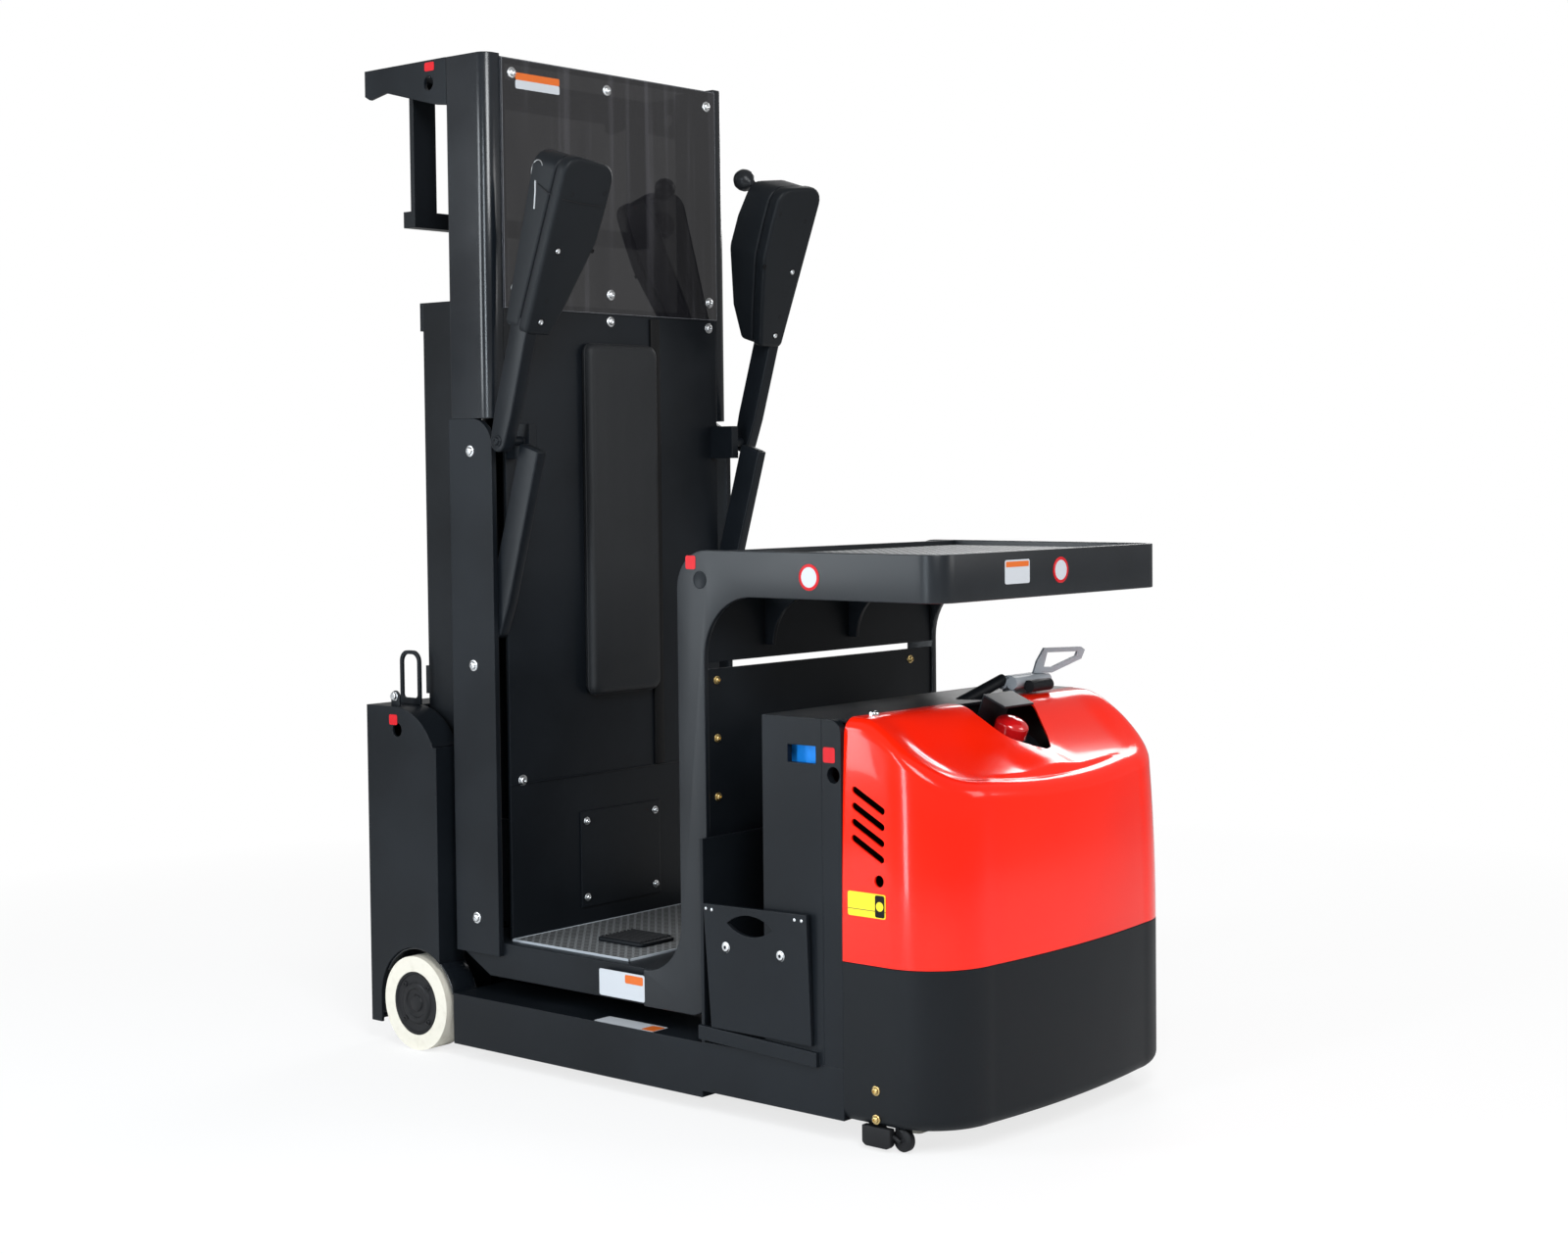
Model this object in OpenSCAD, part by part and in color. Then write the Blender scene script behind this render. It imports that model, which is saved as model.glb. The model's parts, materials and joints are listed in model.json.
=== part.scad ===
// Self-propelled stand-up order picker truck, in millimetres.
// +X runs from the mast to the hood, +Y is the truck's far side, +Z is up.
// The origin is on the floor under the middle of the truck.

/* [Chassis] */
// Length of the hood in front of the battery bay
hood_l = 257; // [245:1:290]
// Length of the rear housing behind the mast
tail_l = 225; // [215:1:235]
// Width of the chassis over its side rails
chassis_w = 760; // [740:2:800]
// Top of the low side rails
rail_top = 137; // [120:1:142]
// Ground clearance of the rails behind the drive shell
rail_bottom = 31; // [25:1:45]
// Width of each low side rail
rail_w = 150; // [130:1:152]
// Top of the black lower shell, where the hood starts
shell_top = 337; // [320:1:350]
// Ground clearance of the lower shell
shell_bottom = 44; // [38:1:50]
// Plan radius of the shell's front corners
nose_r = 135; // [120:1:150]
// How far the front bulges beyond its corners
nose_bulge = 16; // [10:1:24]
// Wall of the shells
shell_t = 6; // [4:1:8]

/* [Battery bay] */
// Rear wall of the battery bay
bay_x = 188; // [186:1:196]
// Length of the low part of the bay
bay_low_l = 164; // [150:1:170]
// Top of the low part
bay_low_top = 528; // [510:1:540]
// Length of the high part of the bay
bay_high_l = 146; // [140:1:150]
// Top of the high part
bay_high_top = 775; // [765:1:780]
// Length of the corner pillar beside the hood
pillar_l = 46; // [40:1:48]
// Thickness of the battery gate plate
gate_t = 8; // [6:1:10]

/* [Mast] */
// Rear face of the outer mast channel
mast_x = -690; // [-694:1:-684]
// Depth of the outer channel along the truck
mast_d = 100; // [96:1:104]
// Outer face of the outer channel from the truck's middle
mast_y = 300; // [294:1:301]
// Width of the outer channel's flanges
mast_flange = 72; // [66:1:74]
// Thickness of the channel walls
mast_t = 12; // [10:1:12]
// How far the mast's top is below the cab's top
mast_drop = 498; // [485:1:540]
// Running clearance between the channels
mast_gap = 6; // [5:0.5:7]
// Lift of each mast stage
stage_lift = 1050; // [900:10:1050]
// Radius of the lift cylinder's tube
cyl_r = 26; // [24:1:28]
// Radius of the lift rod
rod_r = 18; // [15:1:20]

/* [Cab] */
// Outer face of the cab's side plates from the middle
cab_y = 356; // [350:1:357]
// Front face of the back panel
panel_x = -417; // [-420:1:-412]
// Thickness of the back panel
panel_t = 8; // [6:1:10]
// Top of the platform floor
floor_z = 250; // [244:1:256]
// Depth of the platform under the floor
floor_d = 72; // [66:1:76]
// Top of the cab
cab_top = 2087; // [2070:1:2110]
// Top of the side plates
plate_top = 1338; // [1325:1:1360]
// Lower edge of the window
window_z = 1566; // [1550:1:1580]
// Width of the corner posts
post_w = 41; // [38:1:44]
// Thickness of the side plates
plate_t = 12; // [10:1:14]

/* [Front frame and tray] */
// Rear edge of the front upright
upright_x = 112; // [108:1:116]
// Depth of the front upright
upright_d = 71; // [66:1:72]
// Top of the tray and of the front frame
tray_top = 1076; // [1060:1:1090]
// Height of the tray's side
tray_h = 87; // [80:1:95]
// Front of the tray
tray_x = 755; // [730:1:770]
// Plan radius of the tray's front corners
tray_r = 45; // [35:1:55]
// Radius of the lifting holes
lift_r = 15; // [12:1:17]

/* [Arms] */
// Width of the control arm tubes across the truck
arm_w = 30; // [28:1:32]
// Width of the gate bars, which swing between the side plates and the back panel
gate_w = 25; // [22:1:25]
// Depth of the arm tubes
arm_d = 52; // [46:1:54]
// Lean of the raised arms from upright
arm_lean = 17; // [14:1:18]
// Inner face of the control arms from the middle
arm_y = 347; // [347:1:349]
// Height of the control arm's pivot
arm_z = 1290; // [1285:1:1295]
// Height of the lower gate bar's pivot
gate_z = 905; // [895:1:915]
// Radius of the pivot pins
pin_r = 10; // [8:1:12]

/* [Wheels] */
// Radius of the drive wheels
wheel_r = 100; // [95:1:104]
// Width of the drive wheels
wheel_w = 60; // [50:1:62]
// Radius of the caster wheels
caster_r = 60; // [55:1:62]
// Width of the caster wheels
caster_w = 44; // [38:1:48]
// How far the caster wheels trail
trail = 36; // [30:1:38]

/* [Hidden] */
$fn = 48;
mast_top = cab_top - mast_drop;
fit = 0.05;
tight = 0.3;
half_w = chassis_w / 2;
rail_in = half_w - rail_w;
step_x = bay_x + bay_low_l;
pillar_x = step_x + bay_high_l;
hood_x = pillar_x + pillar_l;
cover_x = -576;
front_x = hood_x + hood_l;
rear_x = cover_x - tail_l;
cover_top = 729;
cover_r = 132;
post_x = panel_x - 121;
plate_x = post_x - 8;
floor_x0 = post_x - 2;
plate_x1 = panel_x + 3;
floor_x1 = upright_x + 29;
floor_bottom = floor_z - floor_d;
frame_x1 = upright_x + upright_d;
tray_bottom = tray_top - tray_h;
tray_x0 = frame_x1 + 54;
arm_x = -372;
gate_x = -430;
gate_y = cab_y - plate_t - 2 - gate_w;
head_y0 = 246;
head_y1 = 382;
head_l0 = 230;
head_l1 = 604;
gate_l = 388;
slot_z = 847;
slot_h = 13;
wheel_x = rear_x + 151;
wheel_y = half_w + 4;
caster_x = 632;
caster_y = 222;
well_r = caster_r + trail + 16;
well_top = 2 * caster_r + 52;
inner_x0 = mast_x + mast_t + mast_gap;
inner_x1 = mast_x + mast_d - mast_t - mast_gap;
inner_y = mast_y - mast_t - mast_gap - 1;
inner_t = 10;
inner_top = mast_top - 7;
inner_x = (inner_x0 + inner_x1) / 2;
cyl_y = 150;
shelf_x0 = rear_x;
shelf_z = cab_top - 98;

// A side profile in (x, z), extruded from y0 to y1.
module xz(y0, y1) translate([0, y1, 0]) rotate([90, 0, 0]) linear_extrude(y1 - y0) children();
// A front profile in (y, z), extruded from x0 to x1.
module yz(x0, x1) translate([x0, 0, 0]) rotate([90, 0, 90]) linear_extrude(x1 - x0) children();
module xy(z0, z1) translate([0, 0, z0]) linear_extrude(z1 - z0) children();
module box(lo, hi) translate(lo) cube(hi - lo);
module rect(lo, hi) translate(lo) square(hi - lo);
module rod_x(y, z, r, x0, x1) translate([x0, y, z]) rotate([0, 90, 0]) cylinder(r = r, h = x1 - x0);
module rod_y(x, z, r, y0, y1) translate([x, y1, z]) rotate([90, 0, 0]) cylinder(r = r, h = y1 - y0);
module rod_z(x, y, r, z0, z1) translate([x, y, z0]) cylinder(r = r, h = z1 - z0);
module both() { children(); mirror([0, 1, 0]) children(); }
module far(on) { if (on) mirror([0, 1, 0]) children(); else children(); }

// A rectangle with its own radius at each corner: low-left, low-right, high-right, high-left.
module corner_rect(lo, hi, r) {
    at = [[lo.x, lo.y, 1, 1], [hi.x, lo.y, -1, 1], [hi.x, hi.y, -1, -1], [lo.x, hi.y, 1, -1]];
    difference() {
        rect(lo, hi);
        for (i = [0:3]) if (r[i] > 0)
            translate([at[i][0], at[i][1]]) scale_corner(at[i][2], at[i][3], r[i]);
    }
}
module scale_corner(sx, sy, r) mirror([sx < 0 ? 1 : 0, 0]) mirror([0, sy < 0 ? 1 : 0]) difference() {
    translate([-1, -1]) square(r + 1);
    translate([r, r]) circle(r);
}
// The fillet that fills a concave corner, with its quadrant given by the signs.
module fillet(p, sx, sy, r) translate(p) mirror([sx < 0 ? 1 : 0, 0]) mirror([0, sy < 0 ? 1 : 0])
    difference() { square(r); translate([r, r]) circle(r); }

// The chassis.
module nose_plan(inset = 0) {
    bulge_r = (pow(half_w - nose_r, 2) + pow(nose_bulge, 2)) / (2 * nose_bulge);
    intersection() {
        corner_rect([hood_x, -half_w + inset], [front_x - inset, half_w - inset], [0, nose_r, nose_r, 0]);
        translate([front_x - inset - bulge_r, 0]) circle(bulge_r, $fn = 360);
    }
}

module base_frame() color("#26272a") {
    both() box([wheel_x + wheel_r + 18, rail_in, rail_bottom], [bay_x, half_w, rail_top]);
    box([cover_x, -rail_in, rail_bottom + 14], [bay_x, rail_in, rail_bottom + 44]);
    difference() {
        box([bay_x, -half_w, shell_bottom], [hood_x, half_w, rail_top + 2]);
        both() rod_z(caster_x, caster_y, well_r, shell_bottom - 1, rail_top + 3);
    }
}

module lower_shell() color("#1d1e20") difference() {
    xy(shell_bottom, shell_top) nose_plan();
    both() rod_z(caster_x, caster_y, well_r, shell_bottom - 1, well_top);
}

module hood_body(inset) hull() {
    xy(shell_top, shell_top + 1) nose_plan(inset);
    xy(bay_high_top - 175, bay_high_top - 174) nose_plan(inset + 8);
    both() for (p = [[30, 345, 7, 26], [88, 342, -18, 26], [160, 332, -63, 30], [212, 296, -111, 36]])
        translate([hood_x + p[0], p[1], bay_high_top + p[2] - p[3]]) sphere(p[3] - inset, $fn = 32);
    both() translate([hood_x + 4, half_w - 20, bay_high_top - 75]) cube([1, 12 - inset, 60]);
}

module hood() color("#e23413") difference() {
    intersection() {
        hood_body(0);
        box([hood_x, -half_w, shell_top], [front_x, half_w, bay_high_top + 15]);
    }
    translate([-2, 0, -1]) difference() {
        hood_body(shell_t);
        xy(600, 900) pocket_plan(4);
    }
    both() for (i = [0:3]) vent_slot(bay_high_top - 126 - i * 29);
    both() rod_y(hood_x + 86, bay_high_top - 284, 11, half_w - 30, half_w + 1);
    xy(600, 900) pocket_plan(0);
}
// The pocket in the hood's top that the beacon stands in.
pocket_y = 37;
pocket = [[-1, -65], [60, -55], [118, -20], [150, 15], [160, 35], [152, 58], [118, 94], [60, 132],
    [-1, 143]];
module pocket_plan(grow) polygon([for (p = pocket)
    let (v = p - [60, pocket_y]) [hood_x, 0] + p + grow * v / norm(v)]);
module vent_slot(z) {
    x0 = hood_x + 31;
    xz(half_w - 40, half_w + 1) {
        translate([x0, z]) circle(5);
        translate([x0 + 64, z - 33]) circle(5);
        translate([x0, z]) rotate(-27.3) translate([0, -5]) square([72, 10]);
    }
}

module battery_case() color("#232427") {
    difference() {
        box([step_x, -half_w, rail_top + 2], [pillar_x, half_w, bay_high_top]);
        box([step_x + shell_t, -half_w + 12, rail_top + 8],
            [pillar_x - shell_t, half_w - 12, bay_high_top - shell_t]);
        both() box([step_x + 63, half_w - 20, bay_high_top - 84],
            [step_x + 132, half_w + 1, bay_high_top - 51]);
    }
    box([bay_x, -half_w, rail_top + 2], [bay_x + 8, half_w, bay_low_top]);
    box([pillar_x, -half_w + 16, bay_high_top - 6], [hood_x, half_w - 16, bay_high_top]);
    box([bay_x + 7, -half_w + 14, rail_top + 2], [step_x + 1, half_w - 14, rail_top + 35]);
    both() xz(half_w, half_w + 9) polygon([[bay_x, rail_top + 9], [pillar_x - 12, rail_top - 2],
        [pillar_x - 12, rail_top + 25], [bay_x, rail_top + 36]]);
}
module battery() color("#2a63b8")
    box([step_x + 12, -half_w + 26, rail_top + 8], [pillar_x - 16, half_w - 26, bay_high_top - 40]);

// The gate that keeps the battery in, leaning a little outwards.
module gate_seat() translate([0, half_w + 0.4, rail_top + 36]) rotate([-1.6, 0, 0]) children();
module battery_gate() color("#2b2c2f") gate_seat() {
    difference() {
        xz(0, gate_t) polygon([[step_x - 130, 0], [step_x + 122, 0], [step_x + 118, 242],
            [step_x - 142, 236]]);
        xz(-1, gate_t + 1) intersection() {
            translate([step_x - 24, 205 - 74]) circle(94);
            translate([step_x - 24, 205 + 74]) circle(94);
        }
    }
    for (x = [step_x - 86, step_x + 52]) rod_y(x, 156, 7, gate_t, gate_t + 2.5);
}
module battery_gate_near() far(true) battery_gate();
module battery_gate_far() battery_gate();

module frame_pillars() color("#2b2c2f") both() difference() {
    xz(half_w - 16, half_w) corner_rect([pillar_x, rail_top + 2], [hood_x, bay_high_top], [0, 0, 26, 0]);
    rod_y(pillar_x + 28, bay_high_top - 101, lift_r, half_w - 20, half_w + 1);
}

module cover_side() difference() {
    union() {
        rect([rear_x, shell_bottom], [cover_x, 649]);
        rect([rear_x, 600], [cover_x - cover_r, cover_top]);
        intersection() {
            translate([cover_x - cover_r, cover_top - cover_r]) circle(cover_r);
            rect([cover_x - cover_r - 1, cover_top - cover_r - 1], [cover_x, cover_top + 1]);
        }
    }
    translate([wheel_x, wheel_r]) circle(wheel_r + 18);
    rect([wheel_x - wheel_r - 18, 0], [wheel_x + wheel_r + 18, wheel_r]);
}
module rear_housing() color("#242528") {
    box([rear_x, -half_w + shell_t, shell_bottom], [rear_x + shell_t, half_w - shell_t, cover_top]);
    box([rear_x, -half_w + shell_t, cover_top - shell_t], [mast_x - 12, half_w - shell_t, cover_top]);
}
module side_housing() color("#242528") difference() {
    union() {
        xz(half_w - shell_t, half_w) cover_side();
        difference() {
            xz(mast_y + 14 + tight, half_w) cover_side();
            xz(mast_y + 14, half_w - shell_t) offset_cover();
        }
    }
    rod_y(rear_x + 100, cover_top - 49, lift_r, half_w - 20, half_w + 1);
    box([rear_x - 1, mast_y, shell_bottom - 1], [rear_x + shell_t, half_w - shell_t, cover_top + 1]);
    box([rear_x - 1, mast_y, cover_top - shell_t], [mast_x - 12, half_w - shell_t, cover_top + 1]);
}
module side_housing_near() far(true) side_housing();
module side_housing_far() side_housing();
module offset_cover() difference() {
    union() {
        rect([rear_x + shell_t, 0], [cover_x - shell_t, 649]);
        rect([rear_x + shell_t, 600], [cover_x - cover_r, cover_top - shell_t]);
        intersection() {
            translate([cover_x - cover_r, cover_top - cover_r]) circle(cover_r - shell_t);
            rect([cover_x - cover_r - 1, cover_top - cover_r - 1], [cover_x, cover_top + 1]);
        }
    }
    difference() {
        translate([wheel_x, wheel_r]) circle(wheel_r + 18 + shell_t);
        rect([rear_x, -50], [cover_x, wheel_r - 40]);
    }
}

module outer_mast() color("#1f2022") {
    z0 = rail_bottom + 14;
    both() difference() {
        box([mast_x, mast_y - mast_flange, z0], [mast_x + mast_d, mast_y, mast_top]);
        box([mast_x + mast_t, mast_y - mast_flange - 1, z0 - 1],
            [mast_x + mast_d - mast_t, mast_y - mast_t, mast_top + 1]);
    }
}
module mast_braces() color("#1f2022") {
    z0 = rail_bottom + 14;
    for (z = [z0, mast_top - 837, mast_top - 60])
        box([mast_x - 10, -mast_y, z], [mast_x, mast_y, z + 60]);
    box([mast_x, -mast_y + mast_flange, z0], [cover_x, mast_y - mast_flange, z0 + 20]);
}

module lift_cylinders() color("#6d7074") both() difference() {
    rod_z(inner_x, cyl_y, cyl_r, rail_bottom + 34, mast_top - 97);
    rod_z(inner_x, cyl_y, rod_r + fit, rail_bottom + 60, mast_top - 96);
}
module lift_rods() color("#c9ccd0") both()
    rod_z(inner_x, cyl_y, rod_r, rail_bottom + 66, inner_top - 30);

module drive_units() color("#2c2d30") both() {
    box([wheel_x - 90, mast_y, 60], [wheel_x + 60, mast_y + 14, 330]);
    rod_y(wheel_x, wheel_r, 15, mast_y + 14, wheel_y - 8);
    box([rear_x + shell_t, mast_y - 60, 120], [mast_x - 12, mast_y + 14, 330]);
}
module hose_guards() color("#242528") both() difference() {
    x = rear_x + 46;
    xz(half_w - 60, half_w - 54) corner_rect([x, cover_top], [x + 65, cover_top + 116], [0, 0, 24, 24]);
    xz(half_w - 61, half_w - 53) corner_rect([x + 8, cover_top + 14], [x + 57, cover_top + 108],
        [8, 8, 17, 17]);
}
module skid_brackets() color("#4a4c4f") both() difference() {
    x = hood_x + 76;
    xz(half_w - 60, half_w - 20) polygon([[x - 35, shell_bottom], [x - 35, 24], [x - 20, 16], [x + 20, 16],
        [x + 35, 24], [x + 35, shell_bottom]]);
    xz(half_w - 61, half_w - 19) polygon([[x - 27, shell_bottom + 1], [x - 27, 30], [x - 16, 24],
        [x + 16, 24],
        [x + 27, 30], [x + 27, shell_bottom + 1]]);
}

module tilt_seat(z) translate([hood_x + 61, pocket_y, bay_high_top - 78]) rotate([0, 22, 0])
    translate([0, 0, z]) children();
module beacon_base() color("#1a1b1c") {
    intersection() {
        xy(600, bay_high_top + 25) pocket_plan(-tight);
        tilt_seat(-6) translate([-120, -130, 0]) cube([260, 260, 6]);
    }
    tilt_seat(0) cylinder(r = 35, h = 20);
}
module beacon_lens() color("#c4161c") tilt_seat(20) {
    cylinder(r = 33, h = 26);
    translate([0, 0, 26]) cylinder(r1 = 33, r2 = 26, h = 9);
}
module beacon_shield() color("#1f2022") {
    tilt_seat(0) translate([-46, -58, 0]) cube([4, 92, 84]);
    tilt_seat(0) translate([-46, -58, 84]) cube([56, 92, 4]);
}
module power_connector() color("#8b9096") {
    z = bay_high_top;
    box([hood_x - 46, 170, z], [hood_x - 14, 240, z + 14]);
    for (x = [hood_x - 33, hood_x - 8]) rod_y(x, z + 26, 13, 150, 268);
    box([hood_x - 30, 158, z + 18], [hood_x - 12, 262, z + 40]);
}
// The black cable boot that rises from the battery bay into the connector, and the holder beside it.
module cable_boot() color("#161618") {
    z = bay_high_top;
    difference() {
        translate([hood_x - 64, 52, z - 9]) rotate([0, 0, 73]) rotate([0, 69, 0]) cylinder(r = 12, h = 130);
        box([hood_x - 120, -40, z - 60], [hood_x + 60, 220, z]);
        box([hood_x - 120, 150, z - 60], [hood_x + 60, 320, z + 90]);
    }
    rod_y(hood_x + 21, z + 20, 12, 168, 236);
    box([hood_x + 5, 180, z + 14], [hood_x + 21, 224, z + 30]);
}
module connector_handle() color("#9aa0a6") difference() {
    z = bay_high_top;
    translate([hood_x - 16, 232, z + 40]) rotate([0, 0, -32]) {
        yz(-5, 5) polygon([[0, 0], [40, 0], [104, 26], [112, 44], [104, 50], [24, 50], [8, 24]]);
    }
    translate([hood_x - 16, 232, z + 40]) rotate([0, 0, -32])
        yz(-6, 6) polygon([[22, 12], [40, 11], [92, 32], [96, 41], [30, 41]]);
}

// The lifting stage.
module inner_mast() color("#2a2b2e") {
    z0 = rail_bottom + 45;
    both() difference() {
        box([inner_x0, inner_y - 62, z0], [inner_x1, inner_y, inner_top]);
        box([inner_x0 + inner_t, inner_y - 63, z0 - 1],
            [inner_x1 - inner_t, inner_y - inner_t, inner_top + 1]);
    }
    box([inner_x0, -inner_y + 40, inner_top - 30], [inner_x1, inner_y - 40, inner_top]);
    for (z = [z0, mast_top - 777]) box([inner_x0 - 4, -inner_y + 62, z],
        [inner_x0 + 6, inner_y - 62, z + 60]);
}

// The cab.
roller_y = inner_y - inner_t - 3;
roller_r = (inner_x1 - inner_x0) / 2 - inner_t - 0.5;
module side_plates() color("#2b2c2f") both() difference() {
    xz(cab_y - plate_t, cab_y) corner_rect([plate_x, floor_z - 26], [plate_x1, plate_top], [0, 0, 60, 0]);
}
module platform_floor() color("#2a2b2e") {
    difference() {
        xz(-cab_y + plate_t, cab_y - plate_t)
            polygon([[floor_x0, floor_z], [floor_x0, floor_z - 26], [floor_x0 + 84, floor_bottom],
                [floor_x1, floor_bottom], [floor_x1, floor_z]]);
    }
}
module floor_mat() color("#151516") box([panel_x + 4, -cab_y + 40, floor_z],
    [-72, cab_y - 40, floor_z + 4]);
module foot_switch() color("#1b1c1d") box([-262, -225, floor_z + 4], [-130, -125, floor_z + 16]);
module back_panel() color("#2b2c2f") {
    yz(panel_x - panel_t, panel_x) difference() {
        rect([-cab_y + post_w, floor_z], [cab_y - post_w, cab_top - 6]);
        rect([-cab_y + post_w + 12, window_z + 12], [cab_y - post_w - 12, cab_top - 18]);
    }
    both() box([panel_x - 40, inner_y - 64, floor_z], [panel_x - panel_t, inner_y - 34, window_z]);
}
module service_hatch() color("#303134") box([panel_x, -121, 290], [panel_x + 3, 115, 497]);
module backrest_pad() color("#1f2022") box([panel_x + tight, -103, window_z - 819],
    [panel_x + 34, 103, window_z - 66]);
module window() color([0.6, 0.66, 0.7, 0.35])
    box([panel_x, -cab_y + post_w, window_z], [panel_x + 5, cab_y - post_w, cab_top - 8]);
module corner_posts() color("#2b2c2f") both()
    xy(plate_top, cab_top) corner_rect([post_x, cab_y - post_w], [panel_x, cab_y], [0, 0, 26, 0]);
module shelf_arms() color("#242528") both() difference() {
    xz(cab_y - 8, cab_y) polygon([[shelf_x0, shelf_z + 96], [shelf_x0, shelf_z + 42],
        [shelf_x0 + 15, shelf_z + 34], [shelf_x0 + 67, shelf_z + 44], [shelf_x0 + 227, shelf_z + 4],
        [post_x, shelf_z], [post_x, shelf_z + 98]]);
    rod_y(shelf_x0 + 208, shelf_z + 50, lift_r, cab_y - 20, cab_y + 1);
}
module top_shelf() color("#242528") for (x = [shelf_x0, shelf_x0 + 101, post_x - 60])
    box([x, -cab_y + 8, shelf_z + 60], [x + 60, cab_y - 8, shelf_z + 72]);
module shelf_hanger() color("#242528") {
    x = shelf_x0 + 145;
    both() box([x - 12, cab_y - 70, shelf_z - 210], [x, cab_y - 10, shelf_z + 60]);
    box([x - 36, -cab_y + 10, shelf_z - 244], [x, cab_y - 10, shelf_z - 210]);
}
module roller_arms() color("#2b2c2f") both() {
    box([inner_x - 20, inner_y - 80, 260], [panel_x - panel_t, inner_y - 68, 480]);
    for (z = [290, 450]) rod_y(inner_x, z, 8, inner_y - 68, roller_y);
}
module guide_rollers() color("#8c8f93") both() for (z = [290, 450]) difference() {
    rod_y(inner_x, z, roller_r, roller_y - 40, roller_y);
    rod_y(inner_x, z, 8, roller_y - 41, roller_y + 1);
}
module front_frame() color("#2b2c2f") xz(cab_y - plate_t, cab_y)
    corner_rect([upright_x, floor_bottom], [frame_x1, tray_bottom], [0, 45, 0, 0]);
module front_frame_near() far(true) front_frame();
module front_frame_far() front_frame();
module frame_feet() color("#2b2c2f") both() xz(cab_y - plate_t, cab_y) {
    rect([8, floor_bottom], [upright_x, floor_z]);
    fillet([upright_x, floor_z], -1, 1, 104);
}
// The tray's side plates reach back over the front frame and hold its lashing eyes.
module tray_arms() color("#2b2c2f") both() difference() {
    xz(cab_y - plate_t, cab_y) {
        corner_rect([upright_x, tray_bottom], [tray_x - tray_r, tray_top], [0, 0, 0, 75]);
        fillet([frame_x1, tray_bottom], 1, -1, 120);
    }
    rod_y(upright_x + 62, tray_top - 57, lift_r, cab_y - 20, cab_y + 1);
}
module front_panel() color("#26272a") {
    yz(frame_x1 - 12, frame_x1 - 6) rect([-cab_y + plate_t, floor_bottom], [cab_y - plate_t, slot_z]);
    yz(frame_x1 - 12, frame_x1 - 6) rect([-cab_y + plate_t, slot_z + slot_h],
        [cab_y - plate_t, tray_bottom]);
}
module tray_gussets() color("#2b2c2f") for (y = [-172, 80]) xz(y - 4, y + 4) difference() {
    rect([frame_x1 - 6, tray_bottom - 104], [frame_x1 + 110, tray_bottom]);
    translate([frame_x1 + 110, tray_bottom - 104]) circle(96);
}
module tray() color("#2a2b2e") {
    y = cab_y - plate_t;
    difference() {
        xy(tray_bottom, tray_top) corner_rect([frame_x1 + 54, -cab_y], [tray_x, cab_y],
            [0, tray_r, tray_r, 0]);
        xy(tray_top - 16, tray_top + 1) corner_rect([frame_x1 + 62, -cab_y + plate_t + 6],
            [tray_x - 14, cab_y - plate_t - 6], [0, tray_r - 14, tray_r - 14, 0]);
        both() box([frame_x1, y - 0.01, tray_bottom - 1], [tray_x - tray_r, cab_y + 1, tray_top + 1]);
        xy(tray_bottom - 1, tray_top - 26) corner_rect([frame_x1 + 66, -y + 8], [tray_x - 12, y - 8],
            [0, 30, 30, 0]);
    }
}
module tray_mat() color("#17181a") xy(tray_top - 16, tray_top - 10)
    corner_rect([frame_x1 + 66, -cab_y + plate_t + 10], [tray_x - 18, cab_y - plate_t - 10],
        [0, tray_r - 18, tray_r - 18, 0]);

// The arms.
module arm_brackets() color("#2b2c2f") both() {
    box([panel_x, gate_y - 25, arm_z - 36], [arm_x + 24, gate_y - 5, arm_z + 36]);
    rod_y(arm_x, arm_z, pin_r, gate_y - 6, arm_y + arm_w);
    rod_y(gate_x, gate_z, pin_r, gate_y, cab_y - plate_t);
}
// A tube arm with a round foot on its pin, leaning from upright: y is its inner face, w its width.
module arm_tube(x, z, y, w, l, top_d) translate([x, 0, z]) rotate([0, arm_lean, 0]) difference() {
    xz(y, y + w) {
        circle(arm_d / 2 - 4);
        polygon([[-arm_d / 2 + 4, 0], [arm_d / 2 - 4, 0], [top_d / 2, 60], [top_d / 2, l],
            [-top_d / 2, l], [-top_d / 2, 60]]);
    }
    rod_y(0, 0, pin_r + fit, y - 1, y + w + 1);
}
module control_arm() color("#2a2b2e") arm_tube(arm_x, arm_z, arm_y, arm_w, head_l0 + 30, arm_d);
module control_head() color("#2b2c2f") translate([arm_x, 0, arm_z]) rotate([0, arm_lean, 0]) difference() {
    intersection() {
        xz(head_y0, head_y1) polygon([[arm_d / 2 + 4, head_l0], [arm_d / 2 + 30, head_l1], [-60, head_l1],
            [-70, head_l0 + 230], [-60, head_l0 + 60], [-32, head_l0]]);
        yz(-100, 100) polygon([[head_y1, head_l0], [head_y1, head_l1 + 1], [head_y0, head_l1 + 1],
            [head_y0, head_l0 + 210], [arm_y - 8, head_l0]]);
    }
    box([-arm_d / 2 - 0.01, arm_y - 0.01, 0], [arm_d / 2 + 0.01, arm_y + arm_w + 0.01, head_l0 + 30.01]);
}
module gate_bar() color("#2a2b2e") arm_tube(gate_x, gate_z, gate_y, gate_w, gate_l, arm_d + 6);
module control_arm_near() far(true) control_arm();
module control_arm_far() control_arm();
module control_head_near() far(true) control_head();
module control_head_far() control_head();
module gate_bar_near() far(true) gate_bar();
module gate_bar_far() gate_bar();

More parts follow.
